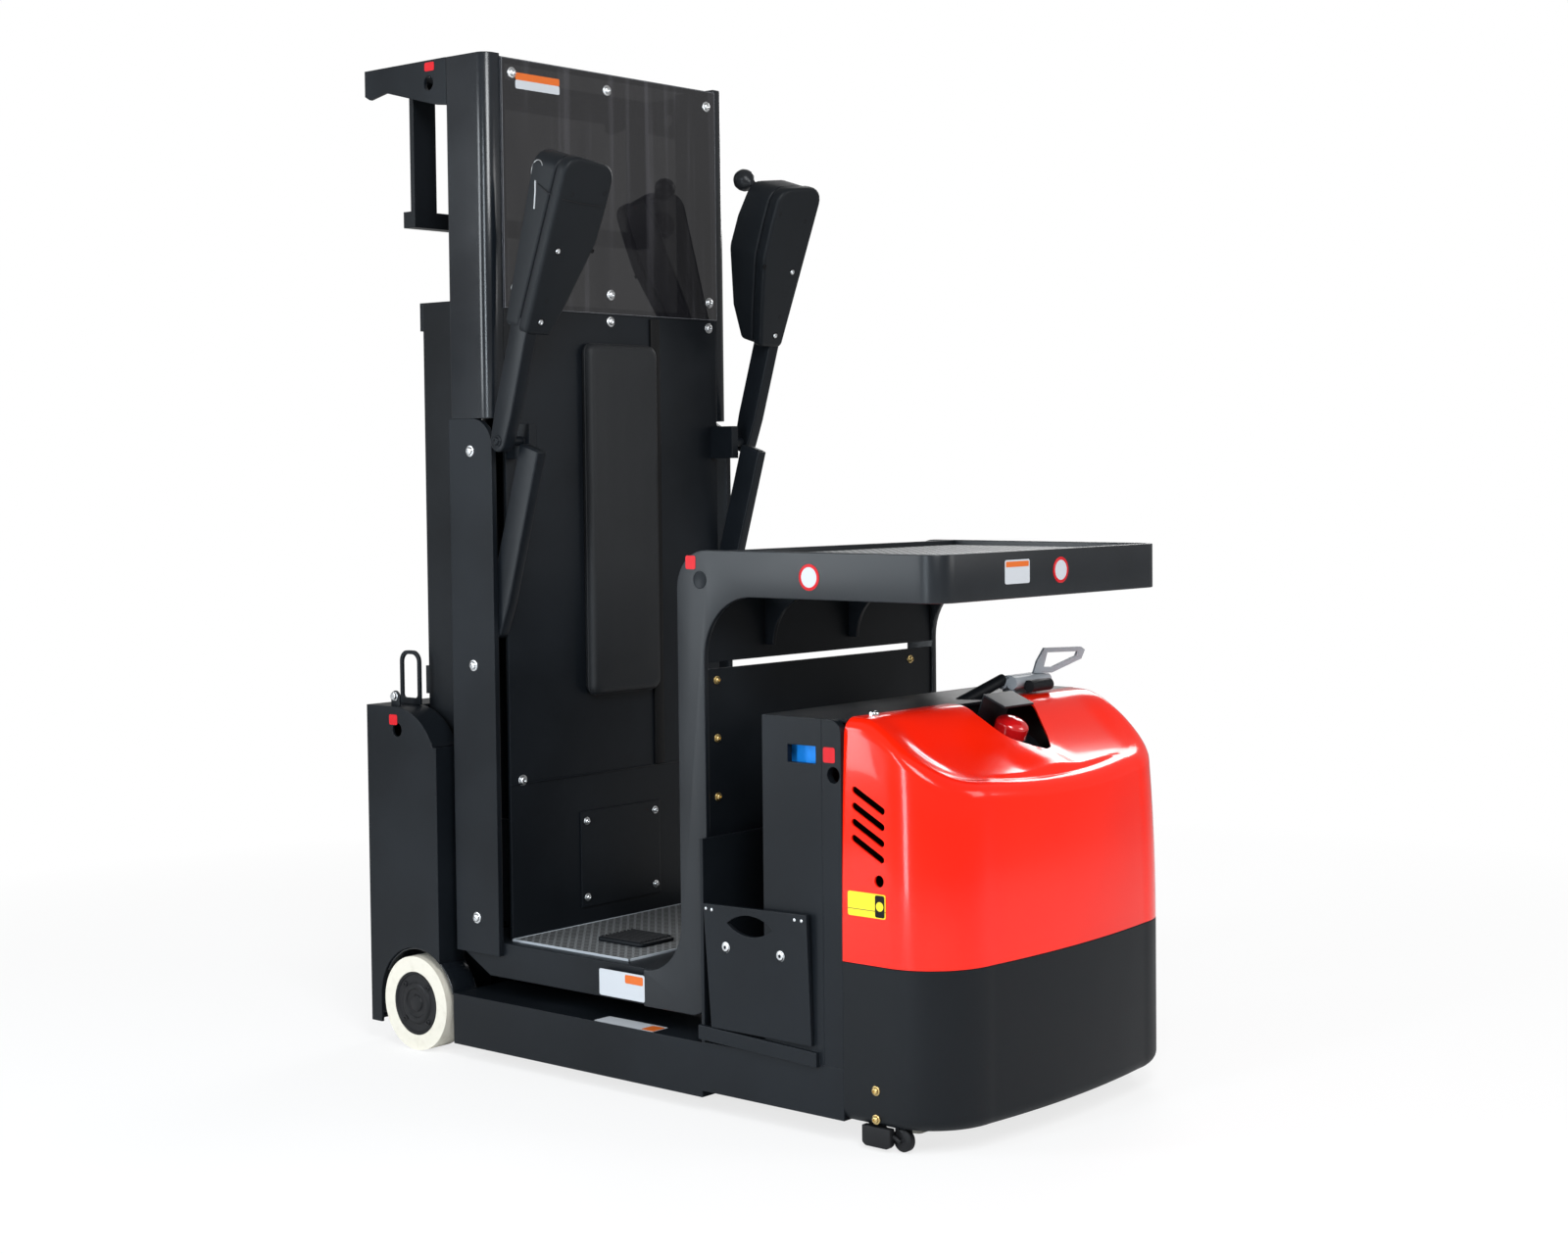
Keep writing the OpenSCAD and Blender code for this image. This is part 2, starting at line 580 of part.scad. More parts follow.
// The wheels.
module drive_wheel() color("#e4e0d4") difference() {
    rod_y(wheel_x, wheel_r, wheel_r, wheel_y - wheel_w, wheel_y);
    rod_y(wheel_x, wheel_r, 15 + fit, wheel_y - wheel_w - 1, wheel_y + 1);
    rod_y(wheel_x, wheel_r, 66, wheel_y - 6, wheel_y + 1);
}
module drive_wheel_near() far(true) drive_wheel();
module drive_wheel_far() drive_wheel();
module caster_fork() color("#55575a") {
    rod_z(caster_x, caster_y, 40, 2 * caster_r + 14, well_top - 5);
    rod_z(caster_x, caster_y, 14, well_top - 5, well_top);
    box([caster_x - trail - 30, caster_y - caster_w / 2 - 14, 2 * caster_r + 6],
        [caster_x + 30, caster_y + caster_w / 2 + 14, 2 * caster_r + 14]);
    for (s = [-1, 1]) translate([0, s * (caster_w / 2 + 9.5), 0])
        box([caster_x - trail - 18, caster_y - 4.5, caster_r - 14],
            [caster_x - trail + 18, caster_y + 4.5, 2 * caster_r + 6]);
    rod_y(caster_x - trail, caster_r, 8, caster_y - caster_w / 2 - 14, caster_y + caster_w / 2 + 14);
}
module caster_wheel() color("#e4e0d4") difference() {
    rod_y(caster_x - trail, caster_r, caster_r, caster_y - caster_w / 2, caster_y + caster_w / 2);
    rod_y(caster_x - trail, caster_r, 8 + fit, caster_y - caster_w, caster_y + caster_w);
}
module caster_fork_near() far(true) caster_fork();
module caster_fork_far() caster_fork();
module caster_wheel_near() far(true) caster_wheel();
module caster_wheel_far() caster_wheel();

base_frame();
lower_shell();
hood();
battery_case();
battery();
battery_gate_near();
battery_gate_far();
frame_pillars();
rear_housing();
side_housing_near();
side_housing_far();
outer_mast();
mast_braces();
lift_cylinders();
drive_units();
hose_guards();
skid_brackets();
beacon_base();
beacon_lens();
beacon_shield();
power_connector();
cable_boot();
connector_handle();
inner_mast();
lift_rods();
side_plates();
platform_floor();
floor_mat();
foot_switch();
back_panel();
service_hatch();
backrest_pad();
window();
corner_posts();
shelf_arms();
top_shelf();
shelf_hanger();
roller_arms();
guide_rollers();
front_frame_near();
front_frame_far();
frame_feet();
tray_arms();
front_panel();
tray_gussets();
tray();
tray_mat();
arm_brackets();
control_arm_near();
control_arm_far();
control_head_near();
control_head_far();
gate_bar_near();
gate_bar_far();
drive_wheel_near();
drive_wheel_far();
caster_fork_near();
caster_fork_far();
caster_wheel_near();
caster_wheel_far();
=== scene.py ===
"""Looks of a stand-up order picker truck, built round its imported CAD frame.

The CAD solids carry the steelwork. This script gives every surface its
finish and adds the moulded shells, pads, fasteners and small fittings.
All lengths are in metres, in the frame of the CAD model: +X runs from the
mast to the hood, +Y is the far side and +Z is up.
"""
from __future__ import annotations

import json
import logging
import math
from dataclasses import dataclass
from enum import Enum
from typing import Callable, Sequence

import bmesh
import bpy
from mathutils import Matrix, Vector

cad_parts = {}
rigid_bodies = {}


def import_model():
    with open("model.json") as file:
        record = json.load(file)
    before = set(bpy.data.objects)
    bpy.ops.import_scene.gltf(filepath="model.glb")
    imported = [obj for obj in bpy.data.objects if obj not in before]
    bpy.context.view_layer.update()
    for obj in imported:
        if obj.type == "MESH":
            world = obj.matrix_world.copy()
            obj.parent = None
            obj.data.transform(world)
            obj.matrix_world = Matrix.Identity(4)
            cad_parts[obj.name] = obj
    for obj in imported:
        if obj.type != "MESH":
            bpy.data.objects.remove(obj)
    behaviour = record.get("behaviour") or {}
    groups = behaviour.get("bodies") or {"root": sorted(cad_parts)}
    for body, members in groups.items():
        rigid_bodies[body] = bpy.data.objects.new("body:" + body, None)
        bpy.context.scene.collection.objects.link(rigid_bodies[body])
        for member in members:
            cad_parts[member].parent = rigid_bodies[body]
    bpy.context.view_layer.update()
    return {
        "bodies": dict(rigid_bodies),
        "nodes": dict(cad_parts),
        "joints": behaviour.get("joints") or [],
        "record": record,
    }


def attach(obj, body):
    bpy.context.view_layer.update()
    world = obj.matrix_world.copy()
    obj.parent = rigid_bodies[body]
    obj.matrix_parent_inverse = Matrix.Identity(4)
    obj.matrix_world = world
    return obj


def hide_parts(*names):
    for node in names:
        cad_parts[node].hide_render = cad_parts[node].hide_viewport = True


LOG = logging.getLogger("order_picker")
Point = tuple[float, float, float]
Flat = tuple[float, float]
Color = tuple[float, float, float]


class Side(Enum):
    """Which side of the truck a piece is on."""

    NEAR = -1
    FAR = 1

    @property
    def word(self) -> str:
        """The side as it stands in node and body names."""
        return self.name.lower()


# Shaders
class Wire:
    """An output socket that takes part in Python arithmetic."""

    def __init__(self, shader: "Shader", socket: bpy.types.NodeSocket) -> None:
        """Keeps the socket and the shader that it belongs to."""
        self.shader = shader
        self.socket = socket

    def _math(self, operation: str, *values: "Wire | float", clamp: bool = False) -> "Wire":
        """Adds one Math node.

        Args:
            operation: the Math node's operation.
            values: its operands in order.
            clamp: whether the result is held between 0 and 1.

        Returns:
            The node's output.
        """
        settings = {"operation": operation, "use_clamp": clamp}
        return self.shader.add("ShaderNodeMath", settings, dict(enumerate(values)))

    def __add__(self, other: "Wire | float") -> "Wire":
        """The sum."""
        return self._math("ADD", self, other)

    __radd__ = __add__

    def __sub__(self, other: "Wire | float") -> "Wire":
        """The difference."""
        return self._math("SUBTRACT", self, other)

    def __rsub__(self, other: "Wire | float") -> "Wire":
        """The difference with this wire taken away."""
        return self._math("SUBTRACT", other, self)

    def __mul__(self, other: "Wire | float") -> "Wire":
        """The product."""
        return self._math("MULTIPLY", self, other)

    __rmul__ = __mul__

    def __truediv__(self, other: "Wire | float") -> "Wire":
        """The quotient."""
        return self._math("DIVIDE", self, other)

    def power(self, exponent: float) -> "Wire":
        """This wire raised to a power."""
        return self._math("POWER", self, exponent)

    def clamped(self) -> "Wire":
        """This wire held between 0 and 1."""
        return self._math("ADD", self, 0.0, clamp=True)

    def above(self, low: float, high: float) -> "Wire":
        """A soft step from 0 at low to 1 at high."""
        settings = {"interpolation_type": "SMOOTHSTEP"}
        return self.shader.add("ShaderNodeMapRange", settings, {"Value": self, 1: low, 2: high})


class Shader:
    """A node material with one Principled surface, while it is being made."""

    def __init__(self, name: str) -> None:
        """Starts an empty material of that name."""
        self.material = bpy.data.materials.new(name)
        self.material.use_nodes = True
        self.tree = self.material.node_tree
        self.tree.nodes.clear()
        self.surface = self.tree.nodes.new("ShaderNodeBsdfPrincipled")
        self.output = self.tree.nodes.new("ShaderNodeOutputMaterial")
        self.tree.links.new(self.surface.outputs[0], self.output.inputs[0])

    def add(self, kind: str, settings: dict, inputs: dict, out: int | str = 0) -> Wire:
        """Adds a node.

        Args:
            kind: the node's type.
            settings: its properties, set before its sockets.
            inputs: values or wires by socket name or index.
            out: which output is returned.

        Returns:
            The chosen output.
        """
        node = self.tree.nodes.new(kind)
        for key, value in settings.items():
            if key == "stops":
                self._ramp(node, value)
            else:
                setattr(node, key, value)
        for key, value in inputs.items():
            if isinstance(value, Wire):
                self.tree.links.new(value.socket, node.inputs[key])
            else:
                node.inputs[key].default_value = value
        return Wire(self, node.outputs[out])

    @staticmethod
    def _ramp(node: bpy.types.Node, stops: Sequence[tuple[float, Color]]) -> None:
        """Fills a colour ramp with its stops."""
        ramp = node.color_ramp
        while len(ramp.elements) < len(stops):
            ramp.elements.new(1.0)
        for element, (place, color) in zip(ramp.elements, stops):
            element.position = place
            element.color = (*color, 1.0)

    def place(self) -> Wire:
        """Coordinates that stay with the piece."""
        return self.add("ShaderNodeTexCoord", {}, {}, "Object")

    def axis(self, index: int) -> Wire:
        """One object coordinate, 0 for x, 1 for y and 2 for z."""
        return self.add("ShaderNodeSeparateXYZ", {}, {0: self.place()}, index)

    def noise(self, scale: float, detail: float = 2.0, stretch: Point = (1, 1, 1)) -> Wire:
        """Soft noise.

        Args:
            scale: grains in a metre.
            detail: octaves of finer noise.
            stretch: extra scale along each axis.

        Returns:
            Noise about 0.5.
        """
        spread = self.add("ShaderNodeMapping", {}, {"Vector": self.place(), "Scale": stretch})
        return self.add("ShaderNodeTexNoise", {}, {"Vector": spread, "Scale": scale, "Detail": detail})

    def mix(self, mask: Wire | float, low: Wire | Color, high: Wire | Color) -> Wire:
        """A colour between two, by a mask."""
        low = low if isinstance(low, Wire) else (*low, 1.0)
        high = high if isinstance(high, Wire) else (*high, 1.0)
        return self.add("ShaderNodeMix", {"data_type": "RGBA"}, {0: mask, 6: low, 7: high}, 2)

    def edge(self, radius: float) -> tuple[Wire, Wire]:
        """Rounds hard edges in the shading.

        Args:
            radius: the edge radius in metres.

        Returns:
            The rounded normal, and a mask that is 1 along edges.
        """
        soft = self.add("ShaderNodeBevel", {"samples": 6}, {"Radius": radius})
        flat = self.add("ShaderNodeNewGeometry", {}, {}, "Normal")
        dot = self.add("ShaderNodeVectorMath", {"operation": "DOT_PRODUCT"}, {0: soft, 1: flat}, "Value")
        return soft, (1 - dot).above(0.02, 0.25)

    def bump(self, height: Wire, depth: float, normal: Wire | None = None) -> Wire:
        """A bump of that depth in metres, on a normal if one is given."""
        inputs = {"Height": height, "Distance": depth, "Strength": 1.0}
        if normal is not None:
            inputs["Normal"] = normal
        return self.add("ShaderNodeBump", {}, inputs)

    def finish(self, **sockets: "Wire | float | Color") -> bpy.types.Material:
        """Sets the surface's sockets, named with _ for a space.

        Returns:
            The finished material.
        """
        for name, value in sockets.items():
            socket = self.surface.inputs[name.replace("_", " ")]
            if isinstance(value, Wire):
                self.tree.links.new(value.socket, socket)
            elif isinstance(value, tuple):
                socket.default_value = (*value, 1.0)
            else:
                socket.default_value = value
        return self.material


@dataclass(frozen=True)
class PowderCoat:
    """Baked powder paint with a fine peel, dulled a little where hands and boots rub it, and lighter along every edge
    as a painted edge highlight.
    """

    name: str
    color: Color
    # lighter colour, used for worn patches and for the painted edge highlight
    worn: Color
    roughness: float
    peel: float = 0.00005
    edge: float = 0.0026
    shine: float = 0.16

    def make(self) -> bpy.types.Material:
        """Builds the material."""
        s = Shader(self.name)
        normal, rim = s.edge(self.edge)
        haze = s.noise(3.0, 4.0).above(0.35, 0.7)
        fine = s.noise(900.0, 1.0)
        lift = s.mix(haze * 0.5, self.color, self.worn)
        # painted edge highlight: the colour turns lighter along every edge
        color = s.mix(rim * 0.45, lift, self.worn)
        rough = haze * 0.08 + (self.roughness - 0.04) + fine * 0.05
        return s.finish(
            Base_Color=color, Roughness=rough, Normal=s.bump(fine, self.peel, normal),
            Specular_IOR_Level=self.shine)


@dataclass(frozen=True)
class HoodPaint:
    """Glossy orange-red moulding under a clear coat."""

    name: str = "hood_gloss"
    color: Color = (0.90, 0.016, 0.003)
    deep: Color = (0.80, 0.010, 0.002)

    def make(self) -> bpy.types.Material:
        """Builds the material."""
        s = Shader(self.name)
        cloud = s.noise(2.2, 2.0).above(0.3, 0.75)
        ripple = s.noise(38.0, 1.0)
        return s.finish(
            Base_Color=s.mix(cloud, self.color, self.deep), Roughness=0.17 + cloud * 0.04,
            Normal=s.bump(ripple, 0.00004), Specular_IOR_Level=0.18, Coat_Weight=0.3, Coat_Roughness=0.05)


@dataclass(frozen=True)
class MouldedPlastic:
    """Black injection-moulded plastic with a leather-fine grain, lighter in random patches and lighter along its edges
    as a painted edge highlight.
    """

    name: str
    color: Color
    roughness: float = 0.48
    grain: float = 0.00006

    def make(self) -> bpy.types.Material:
        """Builds the material."""
        s = Shader(self.name)
        normal, rim = s.edge(0.0014)
        grain = s.noise(1400.0, 1.0)
        tone = s.noise(9.0, 3.0)
        pale = tuple(min(1.0, c * 1.7 + 0.003) for c in self.color)
        # painted edge highlight along the edges, plus random lighter tone
        color = s.mix(rim * 0.3 + tone * 0.25, self.color, pale)
        return s.finish(
            Base_Color=color, Roughness=tone * 0.1 + (self.roughness - 0.05),
            Normal=s.bump(grain, self.grain, normal), Specular_IOR_Level=0.17)


@dataclass(frozen=True)
class PadSkin:
    """Soft black foam skin of the backrest."""

    name: str = "pad_skin"
    color: Color = (0.007, 0.0078, 0.009)

    def make(self) -> bpy.types.Material:
        """Builds the material."""
        s = Shader(self.name)
        cells = s.add("ShaderNodeTexVoronoi", {}, {"Vector": s.place(), "Scale": 520.0}, "Distance")
        tone = s.noise(7.0, 3.0)
        return s.finish(
            Base_Color=s.mix(tone * 0.6, self.color, (0.015, 0.0165, 0.019)),
            Roughness=0.5 + tone * 0.12, Normal=s.bump(cells, 0.00012), Specular_IOR_Level=0.3)


@dataclass(frozen=True)
class TreadRubber:
    """Black rubber sheet with a raised chequer of short bars laid at right angles, the bars painted light grey as a
    painted highlight, with random lighter dust.
    """

    name: str
    pitch: float
    height: float

    def make(self) -> bpy.types.Material:
        """Builds the material."""
        s = Shader(self.name)
        x, y = s.axis(0), s.axis(1)
        bars = []
        for sign in (1.0, -1.0):
            along = (x + y * sign) / self.pitch
            across = (x - y * sign) / self.pitch
            shift = 0.0 if sign > 0 else 0.5
            a = (along + shift)._math("PINGPONG", along + shift, 0.5)
            b = (across + shift)._math("PINGPONG", across + shift, 0.5)
            bars.append(a.above(0.19, 0.13) * b.above(0.42, 0.36))
        raised = bars[0]._math("MAXIMUM", bars[0], bars[1])
        dust = s.noise(24.0, 4.0)
        # painted highlight: the raised bars are painted light grey; dust lightens the rubber at random
        color = s.mix(raised * 0.85 + dust * 0.15, (0.012, 0.012, 0.013), (0.19, 0.20, 0.205))
        return s.finish(
            Base_Color=color, Roughness=0.62 - raised * 0.16 + dust * 0.1,
            Normal=s.bump(raised, self.height))


@dataclass(frozen=True)
class Polyurethane:
    """Cream non-marking tyre with random greyish-brown blotches."""

    name: str = "tyre_cream"

    def make(self) -> bpy.types.Material:
        """Builds the material."""
        s = Shader(self.name)
        # random greyish-brown blotches
        brown_blotch = s.noise(46.0, 3.0).above(0.50, 0.86)
        fine = s.noise(500.0, 2.0)
        return s.finish(
            Base_Color=s.mix(brown_blotch * 0.5, (0.68, 0.64, 0.55), (0.48, 0.43, 0.35)),
            Roughness=0.5 + brown_blotch * 0.2, Normal=s.bump(fine, 0.00015))


@dataclass(frozen=True)
class Metal:
    """Bare, plated or cast metal with a brushed or grained surface."""

    name: str
    color: Color
    roughness: float
    stretch: Point = (1.0, 1.0, 12.0)

    def make(self) -> bpy.types.Material:
        """Builds the material."""
        s = Shader(self.name)
        brush = s.noise(160.0, 3.0, self.stretch)
        blot = s.noise(18.0, 3.0).above(0.4, 0.8)
        dull = tuple(c * 0.72 for c in self.color)
        return s.finish(
            Base_Color=s.mix(blot * 0.5, self.color, dull), Metallic=1.0,
            Roughness=brush * 0.12 + (self.roughness - 0.06) + blot * 0.06,
            Normal=s.bump(brush, 0.00003))


@dataclass(frozen=True)
class ClearSheet:
    """Clear polycarbonate sheet with a faint bloom of rubbed dust, a dark base that paints the shade behind it,
    vertical painted reflection streaks and a painted highlight along its edges.
    """

    name: str = "window_sheet"

    def make(self) -> bpy.types.Material:
        """Builds the material."""
        s = Shader(self.name)
        bloom = s.noise(5.0, 4.0, (1.0, 2.0, 0.6)).above(0.45, 0.8)
        painted_reflection_streak = s.noise(9.0, 3.0, (1.0, 4.0, 0.12)).above(0.50, 0.72)
        rim = s.edge(0.003)[1]
        # dark base paints the shaded space behind the sheet, lightened by painted reflection streaks
        tone = s.mix(painted_reflection_streak, (0.009, 0.0088, 0.0105), (0.034, 0.033, 0.038))
        return s.finish(
            # painted highlight along the sheet's edges
            Base_Color=s.mix(rim, tone, (0.30, 0.31, 0.34)), Roughness=0.03 + bloom * 0.04, Alpha=0.9 + bloom * 0.05,
            IOR=1.5, Specular_IOR_Level=1.0)


@dataclass(frozen=True)
class Lens:
    """Ribbed translucent red moulding of the beacon."""

    name: str = "beacon_red"

    def make(self) -> bpy.types.Material:
        """Builds the material."""
        s = Shader(self.name)
        depth = s.noise(90.0, 2.0)
        return s.finish(
            Base_Color=s.mix(depth, (0.62, 0.008, 0.01), (0.36, 0.004, 0.006)),
            Roughness=0.12 + depth * 0.05, Coat_Weight=0.6, Emission_Color=(0.5, 0.005, 0.004),
            Emission_Strength=0.12)


@dataclass(frozen=True)
class PlainPlate:
    """Printed plate in one or two colours with a thin border, and no words."""

    name: str
    ground: Color
    band: Color
    low: float = 0.0
    high: float = 0.0
    axis: int = 2

    def make(self) -> bpy.types.Material:
        """Builds the material."""
        s = Shader(self.name)
        along = s.axis(self.axis)
        fleck = s.noise(400.0, 2.0)
        inside = along.above(self.low, self.low + 0.0004) * (1 - along.above(self.high, self.high + 0.0004))
        return s.finish(
            Base_Color=s.mix(inside, self.ground, self.band), Roughness=0.34 + fleck * 0.1,
            Normal=s.bump(fleck, 0.00002), Specular_IOR_Level=0.2)


class Finishes:
    """All the truck's materials, by slot name."""

    def __init__(self) -> None:
        """Builds each material once."""
        recipes = {
            "frame_black": PowderCoat("frame_powder", (0.0048, 0.0062, 0.0082), (0.011, 0.014, 0.018), 0.36),
            "band_satin": PowderCoat("band_powder", (0.0050, 0.0068, 0.0092), (0.011, 0.014, 0.018), 0.34, shine=0.35),
            "post_gloss": PowderCoat("post_powder", (0.0048, 0.0064, 0.0088), (0.011, 0.014, 0.018), 0.19, shine=0.5),
            "mast_black": PowderCoat("mast_enamel", (0.0042, 0.0050, 0.0062), (0.010, 0.012, 0.015), 0.32),
            "shell_black": MouldedPlastic("shell_plastic", (0.0052, 0.0066, 0.0084)),
            "hood_red": HoodPaint(),
            "pad_black": PadSkin(),
            "mat_rubber": TreadRubber("floor_tread", 0.021, 0.0012),
            "window_clear": ClearSheet(),
            "tyre_white": Polyurethane(),
            "rod_chrome": Metal("rod_chromed", (0.78, 0.79, 0.81), 0.12),
            "zinc_steel": Metal("zinc_plate", (0.66, 0.67, 0.68), 0.3, (1, 1, 1)),
            "battery_blue": MouldedPlastic("battery_paint", (0.012, 0.27, 0.95), 0.4),
            "lens_red": Lens(),
            "plug_grey": MouldedPlastic("plug_plastic", (0.36, 0.39, 0.42), 0.42),
            "boot_black": MouldedPlastic("boot_rubber", (0.012, 0.012, 0.013), 0.6),
            "brass_zinc": Metal("yellow_zinc", (0.62, 0.46, 0.2), 0.34, (1, 1, 1)),
            "cable_red": MouldedPlastic("cable_jacket", (0.5, 0.02, 0.012), 0.45),
            "plate_yellow": PlainPlate("data_plate", (0.82, 0.66, 0.03), (0.03, 0.03, 0.03), 0.436, 0.4372),
            "plate_pale": PlainPlate("blank_plate", (0.5, 0.52, 0.55), (0.5, 0.52, 0.55)),
            "plate_orange": PlainPlate("plate_band", (0.62, 0.13, 0.02), (0.62, 0.13, 0.02)),
            "plate_red": PlainPlate("red_plate", (0.52, 0.006, 0.012), (0.52, 0.006, 0.012)),
            # near-black plastic used as painted shade in the lid's screw wells and holes and beside the pad; it also
            # dresses the dark end of the hood's plate
            "well_black": MouldedPlastic("well_shadow", (0.0035, 0.0035, 0.004), 0.6),
            "hub_black": MouldedPlastic("hub_plastic", (0.009, 0.009, 0.010), 0.42),
            "knob_black": MouldedPlastic("knob_plastic", (0.014, 0.015, 0.017), 0.3),
        }
        self.by_slot = {slot: recipe.make() for slot, recipe in recipes.items()}

    def __getitem__(self, slot: str) -> bpy.types.Material:
        """The material of a slot."""
        return self.by_slot[slot]

    def dress_frame(self, frame: dict) -> None:
        """Gives every CAD node the finish of its slot.
        """
        for entry in frame["record"]["subparts"]:
            thing = frame["nodes"][entry["node"]]
            thing.data.materials.clear()
            thing.data.materials.append(self[entry["material_slot"]])
            LOG.info("dressed %s in %s", entry["node"], entry["material_slot"])
        for node in ("skid_brackets", "caster_fork_near", "caster_fork_far"):
            frame["nodes"][node].data.materials[0] = self["hub_black"]


# Meshes
class Form:
    """A mesh piece while it is being built."""

    def __init__(self) -> None:
        """Starts empty."""
        self.bm = bmesh.new()

    def loft(self, rings: Sequence[Sequence[Point]], closed: bool = True, caps: bool = True) -> "Form":
        """Joins rings of equal length with quads.

        Args:
            rings: points ring by ring.
            closed: whether each ring runs back to its start.
            caps: whether the first and last rings are filled.

        Returns:
            This form.
        """
        rows = [[self.bm.verts.new(p) for p in ring] for ring in rings]
        count = len(rows[0])
        for a, b in zip(rows, rows[1:]):
            for i in range(count if closed else count - 1):
                j = (i + 1) % count
                self.bm.faces.new((a[i], a[j], b[j], b[i]))
        if caps:
            self.bm.faces.new(rows[0][::-1])
            self.bm.faces.new(rows[-1])
        return self

    def lathe(self, profile: Sequence[Flat], centre: Point, axis: Point, steps: int = 48) -> "Form":
        """Revolves a profile.

        Args:
            profile: (radius, distance along the axis) pairs.
            centre: where distance 0 lies.
            axis: the axis of turning.
            steps: sides of the result.

        Returns:
            This form.
        """
        turn = Vector((0, 0, 1)).rotation_difference(Vector(axis).normalized()).to_matrix()
        rings = []
        for radius, along in profile:
            ring = []
            for k in range(steps):
                a = math.tau * k / steps
                local = Vector((radius * math.cos(a), radius * math.sin(a), along))
                ring.append(tuple(turn @ local + Vector(centre)))
            rings.append(ring)
        return self.loft(rings)

    def prism(self, outline: Sequence[Flat], plane: str, low: float, high: float) -> "Form":
        """Extrudes an outline.

        Args:
            outline: points in the plane, in the order of its two letters.
            plane: "xz", "yz" or "xy".
            low: start of the extrusion along the third axis.
            high: its end.

        Returns:
            This form.
        """
        order = {"xz": (0, 2, 1), "yz": (1, 2, 0), "xy": (0, 1, 2)}[plane]
        rings = []
        for depth in (low, high):
            ring = []
            for u, v in outline:
                p = [0.0, 0.0, 0.0]
                p[order[0]], p[order[1]], p[order[2]] = u, v, depth
                ring.append(tuple(p))
            rings.append(ring)
        return self.loft(rings)

    def tube(self, path: Sequence[Point], radius: float, sides: int = 12) -> "Form":
        """Sweeps a round section along a path."""
        points = [Vector(p) for p in path]
        rings = []
        side = Vector((0, 0, 1))
        for i, p in enumerate(points):
            ahead = (points[min(i + 1, len(points) - 1)] - points[max(i - 1, 0)]).normalized()
            side = (side - ahead * side.dot(ahead))
            side = side.normalized() if side.length > 1e-6 else ahead.orthogonal().normalized()
            up = ahead.cross(side)
            rings.append([tuple(p + (side * math.cos(t) + up * math.sin(t)) * radius)
                          for t in (math.tau * k / sides for k in range(sides))])
        return self.loft(rings)

    def turned(self, matrix: Matrix) -> "Form":
        """Moves the whole form by a matrix."""
        self.bm.transform(matrix)
        return self

    def done(self, name: str, finish: bpy.types.Material, bevel: float = 0.0,
             steps: int = 2, angle: float = 35.0) -> bpy.types.Object:
        """Ends the form as an object.

        Args:
            name: the piece's name.
            finish: its material.
            bevel: radius of its rounded edges.
            steps: segments of each rounded edge.
            angle: edges sharper than this, in degrees, are rounded and stay crisp.

        Returns:
            The new object.
        """
        bmesh.ops.recalc_face_normals(self.bm, faces=self.bm.faces)
        mesh = bpy.data.meshes.new(name)
        self.bm.to_mesh(mesh)
        self.bm.free()
        thing = bpy.data.objects.new(name, mesh)
        bpy.context.collection.objects.link(thing)
        mesh.materials.append(finish)
        if bevel:
            cut = thing.modifiers.new("rounding", "BEVEL")
            cut.width, cut.segments, cut.limit_method = bevel, steps, "ANGLE"
            cut.angle_limit = math.radians(angle)
            cut.harden_normals = False
        bake_modifiers(thing)
        thing.data.shade_smooth()
        sharpen(thing, angle if not bevel else 60.0)
        return thing


def bake_modifiers(thing: bpy.types.Object) -> None:
    """Turns an object's modifiers into mesh."""
    if not thing.modifiers:
        return
    bpy.context.view_layer.update()
    graph = bpy.context.evaluated_depsgraph_get()
    old = thing.data
    thing.data = bpy.data.meshes.new_from_object(thing.evaluated_get(graph))
    thing.modifiers.clear()
    bpy.data.meshes.remove(old)


def sharpen(thing: bpy.types.Object, angle: float) -> None:
    """Marks the edges over that angle, in degrees, as sharp."""
    thing.data.set_sharp_from_angle(angle=math.radians(angle))


def carve(target: bpy.types.Object, cutters: Sequence[bpy.types.Object]) -> None:
    """Cuts pieces out of a target and removes them.

    Args:
        target: the object to cut.
        cutters: closed objects to take away.
    """
    for cutter in cutters:
        cut = target.modifiers.new("cut", "BOOLEAN")
        cut.operation, cut.solver, cut.object = "DIFFERENCE", "EXACT", cutter
    bake_modifiers(target)
    for cutter in cutters:
        bpy.data.objects.remove(cutter)


def place(thing: bpy.types.Object, body: str, slot: str, *nodes: str) -> bpy.types.Object:
    """Puts a piece on its body.

    Args:
        thing: the piece.
        body: the CAD body that carries it.
        slot: not used.
        nodes: CAD nodes that it stands for.

    Returns:
        The piece.
    """
    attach(thing, body)
    if nodes:
        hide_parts(*nodes)
    LOG.info("placed %s on %s", thing.name, body)
    return thing


def arc(centre: Flat, radius: float, start: float, end: float, steps: int = 8) -> list[Flat]:
    """Points of an arc, with its angles in degrees."""
    turn = [math.radians(start + (end - start) * k / steps) for k in range(steps + 1)]
    return [(centre[0] + radius * math.cos(t), centre[1] + radius * math.sin(t)) for t in turn]


def soft_box(low: Flat, high: Flat, radius: float, steps: int = 6) -> list[Flat]:
    """A rectangle with rounded corners."""
    r = radius
    return (arc((high[0] - r, low[1] + r), r, -90, 0, steps) + arc((high[0] - r, high[1] - r), r, 0, 90, steps)
            + arc((low[0] + r, high[1] - r), r, 90, 180, steps) + arc((low[0] + r, low[1] + r), r, 180, 270, steps))


